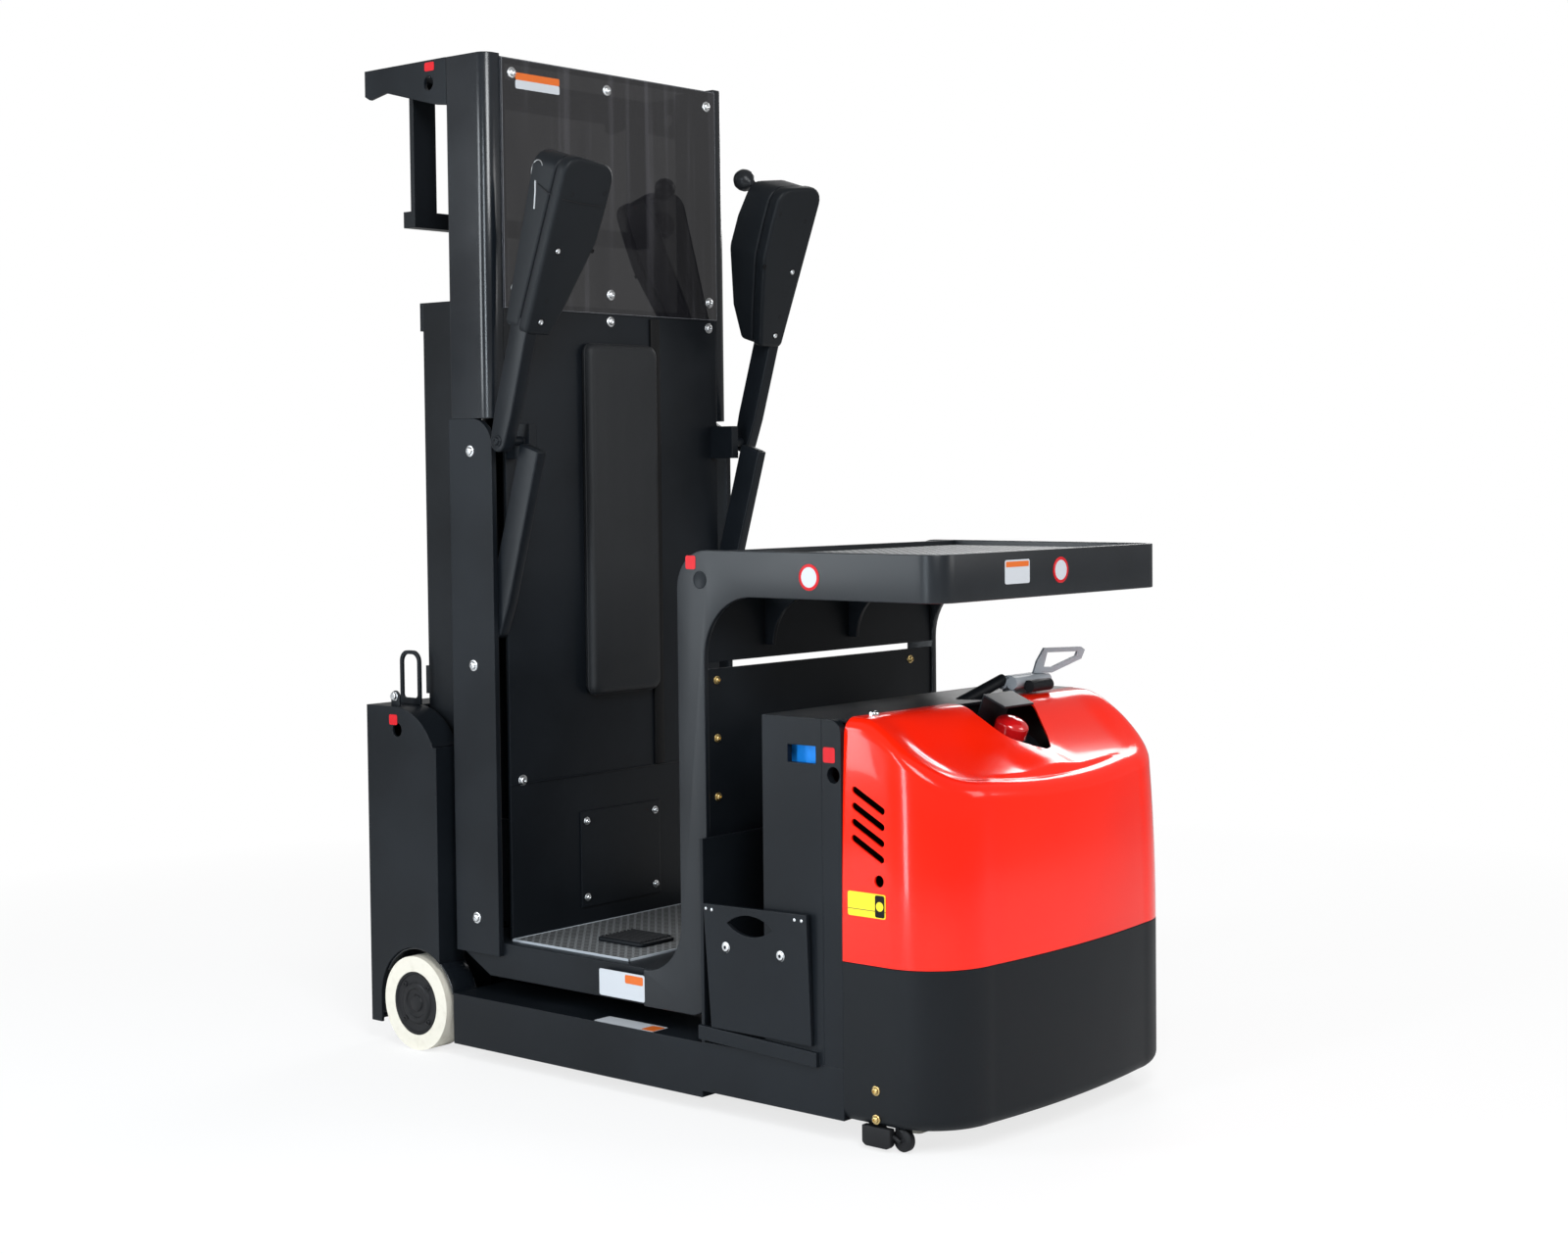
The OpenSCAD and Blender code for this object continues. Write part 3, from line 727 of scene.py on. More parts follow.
def rounded(corners: Sequence[tuple[float, float, float]], steps: int = 6) -> list[Flat]:
    """A closed outline whose corners are turned into arcs.

    Args:
        corners: (u, v, radius) of each corner in order.
        steps: segments of each arc.

    Returns:
        The outline's points.
    """
    points: list[Flat] = []
    for i, (u, v, radius) in enumerate(corners):
        here = Vector((u, v))
        back = Vector(corners[i - 1][:2]) - here
        ahead = Vector(corners[(i + 1) % len(corners)][:2]) - here
        half = back.angle(ahead) / 2
        if radius <= 0 or half > 1.56:
            points.append((u, v))
            continue
        reach = min(radius / math.tan(half), back.length * 0.98, ahead.length * 0.98)
        centre = here + (back.normalized() + ahead.normalized()).normalized() * (reach / math.cos(half))
        start, end = here + back.normalized() * reach - centre, here + ahead.normalized() * reach - centre
        first = math.atan2(start.y, start.x)
        sweep = (math.atan2(end.y, end.x) - first + math.pi) % math.tau - math.pi
        points += [(centre.x + start.length * math.cos(first + sweep * k / steps),
                    centre.y + start.length * math.sin(first + sweep * k / steps)) for k in range(steps + 1)]
    return points


def lerp(a: float, b: float, t: float) -> float:
    """The value between a and b at t."""
    return a + (b - a) * t


def curve(stops: Sequence[Flat], x: float) -> float:
    """A smooth value read from (x, value) stops."""
    if x <= stops[0][0]:
        return stops[0][1]
    last = len(stops) - 1
    for i in range(last):
        (x0, v0), (x1, v1) = stops[i], stops[i + 1]
        if x <= x1:
            before, after = stops[max(i - 1, 0)], stops[min(i + 2, last)]
            m0 = (v1 - before[1]) / (x1 - before[0]) * (x1 - x0)
            m1 = (after[1] - v0) / (after[0] - x0) * (x1 - x0)
            t = (x - x0) / (x1 - x0)
            return ((2 * t ** 3 - 3 * t * t + 1) * v0 + (t ** 3 - 2 * t * t + t) * m0
                    + (3 * t * t - 2 * t ** 3) * v1 + (t ** 3 - t * t) * m1)
    return stops[-1][1]


# Fasteners
@dataclass(frozen=True)
class Bolt:
    """A button-head bolt on its washer."""

    radius: float = 0.0085
    washer: float = 0.0115

    def add(self, form: Form, seat: Point, normal: Point) -> None:
        """Adds one bolt to a form.

        Args:
            form: the form that gathers the bolts.
            seat: the middle of its seat.
            normal: the way that its head points.
        """
        r, w = self.radius, self.washer
        form.lathe([(w, -0.0008), (w, 0.0012), (w - 0.0006, 0.0018), (r, 0.0018), (r, 0.0035),
                    (r * 0.86, 0.0058), (r * 0.5, 0.0068), (r * 0.42, 0.0068), (r * 0.4, 0.0045)],
                   seat, normal, 20)


def bolts(name: str, body: str, finish: bpy.types.Material, slot: str,
          seats: Sequence[tuple[Point, Point]], bolt: Bolt = Bolt()) -> bpy.types.Object:
    """Makes one piece of many bolts.

    Args:
        name: the piece's name.
        body: the CAD body that the bolts ride on.
        finish: their material.
        slot: not used; only passed on to place.
        seats: each bolt's seat and direction.
        bolt: the kind of bolt.

    Returns:
        The piece.
    """
    form = Form()
    for seat, normal in seats:
        bolt.add(form, seat, normal)
    return place(form.done(name, finish, angle=50), body, slot)


def blank_plate(name: str, finish: bpy.types.Material, body: str, middle: Point, along: Point, up: Point,
                width: float, height: float, lift: float = 0.0005) -> None:
    """Adds a thin blank plate with rounded corners.

    Args:
        name: its name.
        finish: its material.
        body: the CAD body that carries it.
        middle: its middle on the face that it lies on.
        along: the way of its width.
        up: the way of its height.
        width: its width.
        height: its height.
        lift: how far its face stands off.
    """
    u, v = Vector(along), Vector(up)
    out = u.cross(v)
    corners = soft_box((-width / 2, -height / 2), (width / 2, height / 2), min(0.004, height * 0.2), 4)
    rings = [[tuple(Vector(middle) + u * a + v * b + out * depth) for a, b in corners] for depth in (-0.0004, lift)]
    place(Form().loft(rings).done(name, finish, angle=40), body, "frame_black")


# Hood
@dataclass
class Hood:
    """The moulded red hood with its dished top, beacon pocket and vents."""

    finish: Finishes
    back: float = 0.544
    front: float = 0.801
    half: float = 0.380
    low: float = 0.3375
    corner: float = 0.135
    bulge: float = 0.016
    draft: float = 0.010
    rim: float = 0.030
    wall: float = 0.0045

    def outline(self, t: float, inset: float) -> Flat:
        """A point of the plan, from the near back corner round the front.

        Args:
            t: 0 at the near back corner, 1 at the far back corner.
            inset: distance inside the outer plan.

        Returns:
            The point in (x, y).
        """
        half, front = self.half - inset, self.front - inset
        r = max(self.corner - inset * 0.6, 0.02)
        side = front - self.bulge - r - self.back
        turn, width = r * math.pi / 2, 2 * (half - r)
        total = 2 * side + 2 * turn + width
        d = t * total
        if d < side:
            return self.back + d, -half
        d -= side
        if d < turn:
            a = -math.pi / 2 + d / r
            return front - self.bulge - r + r * math.cos(a), -half + r + r * math.sin(a)
        d -= turn
        if d < width:
            y = -half + r + d
            return front - self.bulge * (y / (half - r)) ** 2, y
        d -= width
        if d < turn:
            a = d / r
            return front - self.bulge - r + r * math.cos(a), half - r + r * math.sin(a)
        return front - self.bulge - r - (d - turn), half

    def shoulder(self, x: float, y: float) -> float:
        """Height of the top's outer edge."""
        side = curve([(0.544, 0.779), (0.590, 0.775), (0.632, 0.757), (0.713, 0.704), (0.760, 0.676), (0.80, 0.660)], x)
        return side - 0.006 * (1 - min(1.0, abs(y) / 0.25) ** 2) if x > 0.76 else side

    def top(self, x: float, y: float) -> float:
        """Height of the dished top."""
        ridge = curve([(0.544, 0.779), (0.575, 0.777), (0.60, 0.765), (0.66, 0.715), (0.72, 0.678),
                       (0.76, 0.662), (0.80, 0.656)], x)
        spine = curve([(0.544, 0.779), (0.585, 0.772), (0.65, 0.722), (0.72, 0.688), (0.76, 0.668), (0.80, 0.657)], x)
        mid = max(0.0, 1 - abs(y) / 0.10)
        return lerp(ridge, spine, mid * mid * (3 - 2 * mid))

    def skin(self) -> list[list[Point]]:
        """Rings of the outer surface from the bottom edge to the middle of the top."""
        count = 150
        ts = [k / count for k in range(count + 1)]
        edge = [self.shoulder(*self.outline(t, 0.0)) for t in ts]
        rings = []
        for k in range(7):
            v = k / 6
            ring = []
            for t, z in zip(ts, edge):
                x, y = self.outline(t, self.draft * v * v)
                ring.append((x, y, lerp(self.low, z - self.rim, v)))
            rings.append(ring)
        for k in range(1, 9):
            a = math.pi / 2 * k / 8
            inset = self.draft + self.rim * (1 - math.cos(a))
            rings.append([(*self.outline(t, inset), z - self.rim + self.rim * math.sin(a))
                          for t, z in zip(ts, edge)])
        rim = rings[-1]
        for k in range(1, 25):
            s = k / 24
            ring = []
            for x, y, z in rim:
                px, py = lerp(x, min(x, 0.70), s), lerp(y, 0.0, s)
                blend = min(1.0, s * 5.5)
                blend = blend * blend * (3 - 2 * blend)
                ring.append((px, py, lerp(z, self.top(px, py), blend)))
            rings.append(ring)
        return rings

    def pocket(self) -> bpy.types.Object:
        """The cutter of the beacon's pocket."""
        corners = [(0.50, -0.065, 0.0), (0.546, -0.065, 0.0), (0.604, -0.055, 0.03), (0.662, -0.020, 0.05),
                   (0.694, 0.012, 0.02), (0.7035, 0.035, 0.012), (0.696, 0.060, 0.02), (0.662, 0.094, 0.05),
                   (0.604, 0.132, 0.03), (0.546, 0.143, 0.0), (0.50, 0.143, 0.0)]
        outline = rounded(corners)
        return Form().prism(outline, "xy", 0.60, 0.85).done("pocket_cut", self.finish["hood_red"])

    def vents(self) -> list[bpy.types.Object]:
        """The cutters of the slanted vents and the round hole on both sides."""
        cutters = []
        for side in Side:
            for i in range(4):
                x, z = 0.571, 0.650 - 0.029 * i
                tilt = math.atan2(-0.033, 0.064)
                length = math.hypot(0.064, 0.033)
                slot = arc((0, 0), 0.0068, 90, 270, 6) + arc((length, 0), 0.0068, -90, 90, 6)
                turned = [(x + u * math.cos(tilt) - v * math.sin(tilt), z + u * math.sin(tilt) + v * math.cos(tilt))
                          for u, v in slot]
                lo, hi = sorted((side.value * 0.33, side.value * 0.40))
                cutters.append(Form().prism(turned, "xz", lo, hi).done("vent_cut", self.finish["hood_red"]))
            hole = arc((0.630, 0.491), 0.011, 0, 345, 23)
            lo, hi = sorted((side.value * 0.33, side.value * 0.40))
            cutters.append(Form().prism(hole, "xz", lo, hi).done("hole_cut", self.finish["hood_red"]))
        return cutters

    def lower(self) -> None:
        """Builds the black lower shell with its rounded bottom edge and the caster wells."""
        bottom, top, edge = 0.044, 0.3368, 0.026
        count = 150
        rings = []
        levels = [(bottom + edge * (1 - math.cos(a)), edge * (1 - math.sin(a)))
                  for a in (math.pi / 2 * k / 8 for k in range(9))]
        levels += [(lerp(bottom + edge, top, k / 6), 0.0) for k in range(1, 6)] + [(top - 0.0015, 0.0), (top, 0.0015)]
        for z, inset in levels:
            rings.append([(*self.outline(k / count, inset), z) for k in range(count + 1)])
        shell = Form().loft(rings).done("lower_shell_skin", self.finish["shell_black"], angle=50)
        wells = [Form().lathe([(0.001, 0.0), (0.112, 0.0), (0.112, 0.132), (0.001, 0.132)],
                              (0.632, side.value * 0.222, 0.040), (0, 0, 1), 64).done("well_cut", self.finish["shell_black"])
                 for side in Side]
        carve(shell, wells)
        sharpen(shell, 40)
        place(shell, "chassis", "shell_black", "lower_shell")

    def build(self) -> None:
        """Builds the hood over its CAD node."""
        form = Form().loft(self.skin(), closed=False, caps=False)
        bmesh.ops.remove_doubles(form.bm, verts=form.bm.verts, dist=0.00005)
        shell = form.done("hood_shell", self.finish["hood_red"], angle=60)
        thick = shell.modifiers.new("wall", "SOLIDIFY")
        thick.thickness, thick.offset = self.wall, -1.0
        bake_modifiers(shell)
        carve(shell, [self.pocket(), *self.vents()])
        shell.data.shade_smooth()
        sharpen(shell, 40)
        place(shell, "chassis", "hood_red", "hood")
        self.lower()
        spot = (0.602, -self.half, 0.446)
        blank_plate("hood_plate", self.finish["plate_yellow"], "chassis", spot, (1, 0, 0), (0, 0, 1), 0.088, 0.044)
        spot = (0.633, -self.half, 0.446)
        blank_plate("hood_plate_end", self.finish["well_black"], "chassis", spot, (1, 0, 0), (0, 0, 1), 0.022, 0.040, 0.0008)
        disc = Form().lathe([(0.0085, 0.0), (0.0085, 0.0011), (0.0010, 0.0011)], spot, (0, -1, 0), 32)
        place(disc.done("hood_plate_disc", self.finish["plate_yellow"], angle=40), "chassis", "hood_red")


# Arms
@dataclass
class Arms:
    """The folding control arms with their moulded heads, and the lower gate bars."""

    finish: Finishes
    pivot: Flat = (-0.372, 1.290)
    gate: Flat = (-0.430, 0.905)
    lean: float = 17.0
    foot: float = 0.230
    tip: float = 0.604
    outer: float = 0.382
    inner: float = 0.2465
    slant: float = 0.07

    def seat(self, pivot: Flat) -> Matrix:
        """The frame of an arm: x forwards, z along the tube."""
        return Matrix.Translation((pivot[0], 0, pivot[1])) @ Matrix.Rotation(math.radians(self.lean), 4, "Y")

    def face(self, side: Side, inset: float) -> list[Flat]:
        """Outline of the head in (y, along the arm), that far inside the lid's own."""
        near, back, foot = self.outer - inset, self.inner + inset, self.foot
        corners = [(near, foot + inset, 0.014), (near, self.tip - inset, 0.034),
                   (back, self.tip - 0.016 - inset, 0.036), (back, foot + 0.275, 0.05),
                   (back + 0.0035, foot + 0.200, 0.08), (back + 0.0415, foot + 0.075, 0.08),
                   (back + 0.0665, foot + inset, 0.014)]
        return [(y * side.value, w) for y, w in rounded(corners)]

    def rear(self, w: float) -> float:
        """How far back the head's body reaches at that distance along the arm."""
        return curve([(-0.01, -0.034), (0.03, -0.046), (0.07, -0.060), (0.17, -0.068), (0.23, -0.070), (0.28, -0.062),
                      (0.33, -0.050), (0.38, -0.042)], w - self.foot)

    def head(self, side: Side) -> None:
        """Builds the lid and the body of one head."""
        black = self.finish["shell_black"]
        seat = self.seat(self.pivot)
        lid = Form().prism(self.face(side, 0.0), "yz", 0.0, 0.030)
        for v in lid.bm.verts:
            v.co.x += self.slant * (v.co.z - self.foot)
        lid.turned(seat)
        cover = lid.done("head_lid_" + side.word, black, bevel=0.0085, steps=5)
        place(cover, "arm_" + side.word, "shell_black", "control_head_" + side.word)
        body = Form().prism(self.face(side, 0.0028), "yz", 0.0, 1.0)
        for v in body.bm.verts:
            seam = -0.0016 + self.slant * (v.co.z - self.foot)
            v.co.x = self.rear(v.co.z) if v.co.x < 0.5 else seam
        body.turned(seat)
        place(body.done("head_body_" + side.word, black, bevel=0.012, steps=4), "arm_" + side.word, "shell_black",
              "control_head_" + side.word)
        self.screws(side, seat)

    def screws(self, side: Side, seat: Matrix) -> None:
        """Adds the lid's countersunk screws with near-black rings as painted shade in their wells, and plain holes
        painted near-black as shade.
        """
        screws, holes, painted_well_shade = Form(), Form(), Form()
        ahead = (seat.to_3x3() @ Vector((1, 0, -self.slant))).normalized()

        def spot(y: float, w: float, lift: float) -> Point:
            """A point over the lid's face."""
            return tuple(seat @ Vector((0.030 + self.slant * (w - self.foot) + lift, y * side.value, w)))

        # near-black rings: painted shade in the screw wells
        for y, w in ((0.350, 0.4065), (0.350, 0.258)):
            painted_well_shade.lathe([(0.0078, -0.002), (0.0078, 0.0003), (0.0062, 0.0003), (0.0062, -0.002)], spot(y, w, 0.0), ahead, 24)
            screws.lathe([(0.0060, -0.004), (0.0060, 0.0), (0.0050, 0.0016), (0.0026, 0.0022), (0.0024, 0.0008)],
                         spot(y, w, 0.0), ahead, 20)
        # near-black plugs: painted shade in the plain holes
        for y, w in ((0.347, 0.523), (0.263, 0.533), (0.258, 0.413), (0.348, 0.302)):
            holes.lathe([(0.0044, -0.003), (0.0044, 0.0002), (0.0038, 0.00035), (0.0030, 0.0002), (0.0026, -0.001)],
                        spot(y, w, 0.0), ahead, 20)
        body = "arm_" + side.word
        place(painted_well_shade.done("screw_wells_" + side.word, self.finish["well_black"], angle=40), body, "shell_black")
        place(holes.done("lid_holes_" + side.word, self.finish["well_black"], angle=40), body, "shell_black")
        place(screws.done("lid_screws_" + side.word, self.finish["zinc_steel"], angle=40), body, "zinc_steel")

    def tube(self, side: Side, name: str, pivot: Flat, across: Flat, length: float, depth: float, node: str) -> None:
        """Builds a tube arm over its CAD node, with folded edges and a pressed cap."""
        y0, y1 = across
        seat = self.seat(pivot)
        r, top = 0.026 - 0.004, depth / 2
        outline = arc((0, 0), r, 180, 360, 10) + [(top, 0.060), (top, length), (-top, length), (-top, 0.060)]
        form = Form().prism([(u, w) for u, w in outline], "xz", *sorted((y0 * side.value, y1 * side.value)))
        form.turned(seat)
        shell = form.done(name + side.word, self.finish["frame_black"], bevel=0.0035, steps=3, angle=30)
        place(shell, node, "frame_black", shell_node(name, side))
        cap = Form().prism(soft_box((-top + 0.004, y0 + 0.004), (top - 0.004, y1 - 0.004), 0.004), "xy",
                           length - 0.002, length + 0.0012)
        if side is Side.NEAR:
            for v in cap.bm.verts:
                v.co.y = -v.co.y
        cap.turned(seat)
        place(cap.done(name + "cap_" + side.word, self.finish["shell_black"], bevel=0.0008), node, "shell_black")

    def pivots(self, side: Side) -> None:
        """Adds the pivot bolts of both arms, which stay with the cab."""
        form = Form()
        Bolt(0.009, 0.0125).add(form, (self.pivot[0], 0.3772 * side.value, self.pivot[1]), (0, side.value, 0))
        place(form.done("pivot_bolt_" + side.word, self.finish["frame_black"], angle=50), "cab", "frame_black")

    def knob(self) -> None:
        """Adds the far head's ball knob and its round thumb dial."""
        seat = self.seat(self.pivot)
        back = tuple(seat.to_3x3() @ Vector((-1, 0, 0.10)))
        root = tuple(seat @ Vector((-0.040, 0.278, 0.574)))
        form = Form().lathe([(0.0125, -0.01), (0.0125, 0.006), (0.0085, 0.010), (0.0075, 0.020), (0.0105, 0.026),
                             (0.0185, 0.032), (0.0235, 0.041), (0.0245, 0.050), (0.0225, 0.060), (0.0165, 0.068),
                             (0.008, 0.0725), (0.001, 0.0735)], root, back, 36)
        place(form.done("ball_knob", self.finish["knob_black"], angle=40), "arm_far", "shell_black")
        root = tuple(seat @ Vector((-0.046, 0.286, 0.507)))
        dial = Form().lathe([(0.030, -0.012), (0.030, 0.012), (0.028, 0.016), (0.022, 0.018), (0.010, 0.0165),
                             (0.001, 0.0162)], root, tuple(seat.to_3x3() @ Vector((-1, -0.25, 0.05))), 40)
        place(dial.done("thumb_dial", self.finish["shell_black"], angle=40), "arm_far", "shell_black")

    def key(self) -> None:
        """Adds the near head's key switch with its ring, key and thin lanyard."""
        seat = self.seat(self.pivot)

        def at(u: float, y: float, w: float) -> Point:
            """A point in the arm's frame."""
            return tuple(seat @ Vector((u, 0.014 - y, w - 0.038)))

        way = tuple(seat.to_3x3() @ Vector((-0.75, 0.45, 0.45)))
        barrel = Form().lathe([(0.0165, -0.012), (0.0165, 0.010), (0.015, 0.014), (0.011, 0.0155), (0.010, 0.0145),
                               (0.001, 0.014)], at(-0.052, 0.352, 0.585), way, 32)
        place(barrel.done("key_barrel", self.finish["shell_black"], angle=40), "arm_near", "shell_black")
        ring = [at(-0.030 + 0.016 * math.cos(a), 0.392, 0.590 + 0.021 * math.sin(a))
                for a in (math.tau * k / 28 for k in range(29))]
        metal = Form().tube(ring, 0.0011, 8)
        metal.tube([at(-0.028, 0.3935, 0.570), at(-0.022, 0.3935, 0.548), at(-0.016, 0.3935, 0.515)], 0.0018, 8)
        metal.lathe([(0.0045, 0.0), (0.0045, 0.022), (0.003, 0.024)], at(-0.060, 0.352, 0.590), way, 16)
        place(metal.done("key_and_ring", self.finish["zinc_steel"], angle=40), "arm_near", "zinc_steel")
        line = [at(u, y, w) for u, y, w in (
            (-0.020, 0.3955, 0.566), (0.012, 0.3965, 0.556), (0.036, 0.3955, 0.552), (0.0505, 0.384, 0.550),
            (0.0515, 0.350, 0.547), (0.0515, 0.310, 0.545), (0.0515, 0.282, 0.545))]
        place(Form().tube(line, 0.0009, 8).done("key_lanyard", self.finish["boot_black"], angle=60), "arm_near",
              "shell_black")

    def build(self) -> None:
        """Builds both sides."""
        for side in Side:
            self.tube(side, "control_tube_", self.pivot, (0.347, 0.377), 0.260, 0.052, "arm_" + side.word)
            self.tube(side, "gate_tube_", self.gate, (0.317, 0.342), 0.388, 0.058, "gate_" + side.word)
            self.head(side)
            self.pivots(side)
        self.knob()
        self.key()


def shell_node(name: str, side: Side) -> str:
    """The CAD node that a tube piece stands for."""
    return {"control_tube_": "control_arm_", "gate_tube_": "gate_bar_"}[name] + side.word


# Cab
@dataclass
class Cab:
    """The lifting cab: back panel, pad, window, floor and tray details."""

    finish: Finishes
    panel: float = -0.417
    side: float = 0.356

    def pad(self) -> None:
        """Builds the backrest as a soft pad with a crowned front and a welted seam."""
        low, high = (-0.103, 0.747), (0.103, 1.500)
        back, front = self.panel + 0.0003, self.panel + 0.034
        mid_y, mid_z = 0.0, (low[1] + high[1]) / 2
        half_y, half_z = high[0], (high[1] - low[1]) / 2
        rings = []
        for depth, inset in ((0.0, 0.004), (0.006, 0.0005), (0.012, 0.0), (0.020, 0.0008), (0.026, 0.004), (0.030, 0.009)):
            rings.append([(back + depth, y, z) for y, z in
                          soft_box((low[0] + inset, low[1] + inset), (high[0] - inset, high[1] - inset), 0.020, 8)])
        rim = rings[-1]
        for k in range(1, 12):
            s = k / 12
            ring = []
            for x, y, z in rim:
                py, pz = mid_y + (y - mid_y) * (1 - s), mid_z + (z - mid_z) * (1 - s * half_y / half_z * 0.98)
                fold = 0.0007 * math.sin(pz * 71.0) * math.sin(s * 3.1)
                ring.append((min(back + 0.030 + (front - back - 0.0305) * math.sin(s * math.pi / 2) + fold, front), py, pz))
            rings.append(ring)
        pad = Form().loft(rings).done("backrest_cushion", self.finish["pad_black"], angle=70)
        place(pad, "cab", "pad_black", "backrest_pad")
        welt = [(back + 0.0125, y, z) for y, z in soft_box((low[0] + 0.0005, low[1] + 0.0005),
                                                            (high[0] - 0.0005, high[1] - 0.0005), 0.020, 8)]
        place(Form().tube(welt + welt[:1], 0.0018, 8).done("pad_welt", self.finish["pad_black"], angle=70), "cab",
              "pad_black")

    def fasteners(self) -> None:
        """Adds the bolts of the side plates, back panel, hatch, window and front panel."""
        steel, brass = self.finish["zinc_steel"], self.finish["brass_zinc"]
        seats = [((x, s * self.side, z), (0, s, 0)) for s in (-1, 1) for x, z in
                 ((-0.480, 1.271), (-0.479, 0.826), (-0.481, 0.298))]
        bolts("side_plate_bolts", "cab", steel, "zinc_steel", seats, Bolt(0.0085, 0.012))
        glass = self.panel + 0.005
        seats = [((glass, y, z), (1, 0, 0)) for y, z in
                 ((-0.288, 2.050), (-0.019, 2.045), (0.287, 2.045), (-0.287, 1.607), (-0.015, 1.607), (0.290, 1.605))]
        seats += [((self.panel, y, z), (1, 0, 0)) for y, z in
                  ((-0.290, 1.549), (-0.012, 1.550), (0.292, 1.548), (-0.282, 0.583), (0.284, 0.583))]
        bolts("back_panel_bolts", "cab", steel, "zinc_steel", seats, Bolt(0.008, 0.0115))
        seats = [((self.panel + 0.003, y, z), (1, 0, 0)) for y in (-0.105, 0.100) for z in (0.311, 0.476)]
        bolts("hatch_bolts", "cab", steel, "zinc_steel", seats, Bolt(0.006, 0.0085))
        seats = [((0.177, y, z), (1, 0, 0)) for y in (-0.316, 0.274) for z in (0.600, 0.713, 0.825)]
        bolts("front_panel_bolts", "cab", brass, "zinc_steel", seats, Bolt(0.006, 0.0085))

    def seams(self) -> None:
        """Adds the raised edge lines of the back panel: its lower seam, and beside the pad a near-black upright that
        paints the shade of the groove there.
        """
        form = Form()
        x0, x1 = self.panel - 0.0002, self.panel + 0.0025
        form.prism([(-0.315, 0.5745), (0.315, 0.5745), (0.315, 0.5775), (-0.315, 0.5775)], "yz", x0, x1)
        place(form.done("panel_seam", self.finish["frame_black"], bevel=0.0008), "cab", "frame_black")
        # near-black strip: painted shade of the groove beside the pad
        trim = Form().prism([(0.104, 0.578), (0.131, 0.578), (0.131, 1.560), (0.104, 1.560)], "yz", x0, x1 + 0.004)
        place(trim.done("panel_upright", self.finish["well_black"], bevel=0.0018), "cab", "frame_black")

    def plates(self) -> None:
        """Adds the blank plates of tray, platform, top arm and step: no words or marks."""
        pale, orange, red = (self.finish["plate_" + tone] for tone in ("pale", "orange", "red"))
        near, nose = -self.side, 0.755
        blank_plate("tray_front_plate", pale, "cab", (nose, -0.126, 1.038), (0, 1, 0), (0, 0, 1), 0.076, 0.044)
        blank_plate("tray_front_band", orange, "cab", (nose, -0.126, 1.052), (0, 1, 0), (0, 0, 1), 0.070, 0.010, 0.0008)
        blank_plate("platform_plate", pale, "cab", (-0.0525, near, 0.2115), (1, 0, 0), (0, 0, 1), 0.127, 0.053)
        blank_plate("platform_band", orange, "cab", (-0.018, near, 0.2255), (1, 0, 0), (0, 0, 1), 0.050, 0.017, 0.0008)
        blank_plate("top_arm_plate", red, "cab", (-0.589, near, 2.073), (1, 0, 0), (0, 0, 1), 0.030, 0.018)
        blank_plate("step_plate", red, "cab", (0.150, near, 1.052), (1, 0, 0), (0, 0, 1), 0.026, 0.026)
        for name, spot, across in (("tray_roundel", (nose, 0.011, 1.036), (0, 1, 0)),
                                   ("tray_side_roundel", (0.451, near, 1.030), (1, 0, 0))):
            out = Vector(across).cross(Vector((0, 0, 1)))
            seat = tuple(Vector(spot))
            rim = Form().lathe([(0.0245, -0.0004), (0.0245, 0.0006), (0.0240, 0.0010), (0.0190, 0.0010), (0.0188, 0.0006)],
                               seat, tuple(out), 48)
            place(rim.done(name, red, angle=40), "cab", "frame_black")
            face = Form().lathe([(0.0192, -0.0004), (0.0192, 0.0007), (0.0010, 0.0008)], seat, tuple(out), 40)
            place(face.done(name + "_face", pale, angle=40), "cab", "frame_black")

    def eyes(self) -> None:
        """Rims the lashing eyes of the front frame."""
        form = Form()
        for s in (-1, 1):
            form.lathe([(0.0152, -0.0005), (0.0172, -0.0005), (0.0172, 0.0006), (0.0165, 0.0011), (0.0156, 0.0008)],
                       (0.174, s * self.side, 1.019), (0, s, 0), 40)
        place(form.done("eye_rims", self.finish["frame_black"], angle=40), "cab", "frame_black")

    def posts(self) -> None:
        """Builds the corner posts with their broad rounded front edge."""
        form = Form()
        x0, x1, low, high = self.panel - 0.121, self.panel, 1.338, 2.087
        for side in Side:
            corners = [(x0, 0.315, 0.0), (x0, self.side, 0.003), (x1, self.side, 0.026), (x1, 0.315, 0.002)]
            outline = [(x, y * side.value) for x, y in rounded(corners, 16)]
            form.prism(outline, "xy", low, high)
        posts = form.done("corner_post_sheet", self.finish["post_gloss"], bevel=0.0014, angle=50)
        place(posts, "cab", "frame_black", "corner_posts")

    def edging(self) -> None:
        """Adds the pale strip round the floor mat."""
        x0, x1, y1, wide = self.panel + 0.001, -0.069, 0.319, 0.0032
        form = Form()
        for low, high in (((x0, -y1), (x1, -y1 + wide)), ((x0, y1 - wide), (x1, y1)), ((x1 - wide, -y1), (x1, y1)),
                          ((x0, -y1), (x0 + wide, y1))):
            form.prism([low, (high[0], low[1]), high, (low[0], high[1])], "xy", 0.2495, 0.2548)
        place(form.done("mat_edging", self.finish["plug_grey"], bevel=0.0006), "cab", "plug_grey")

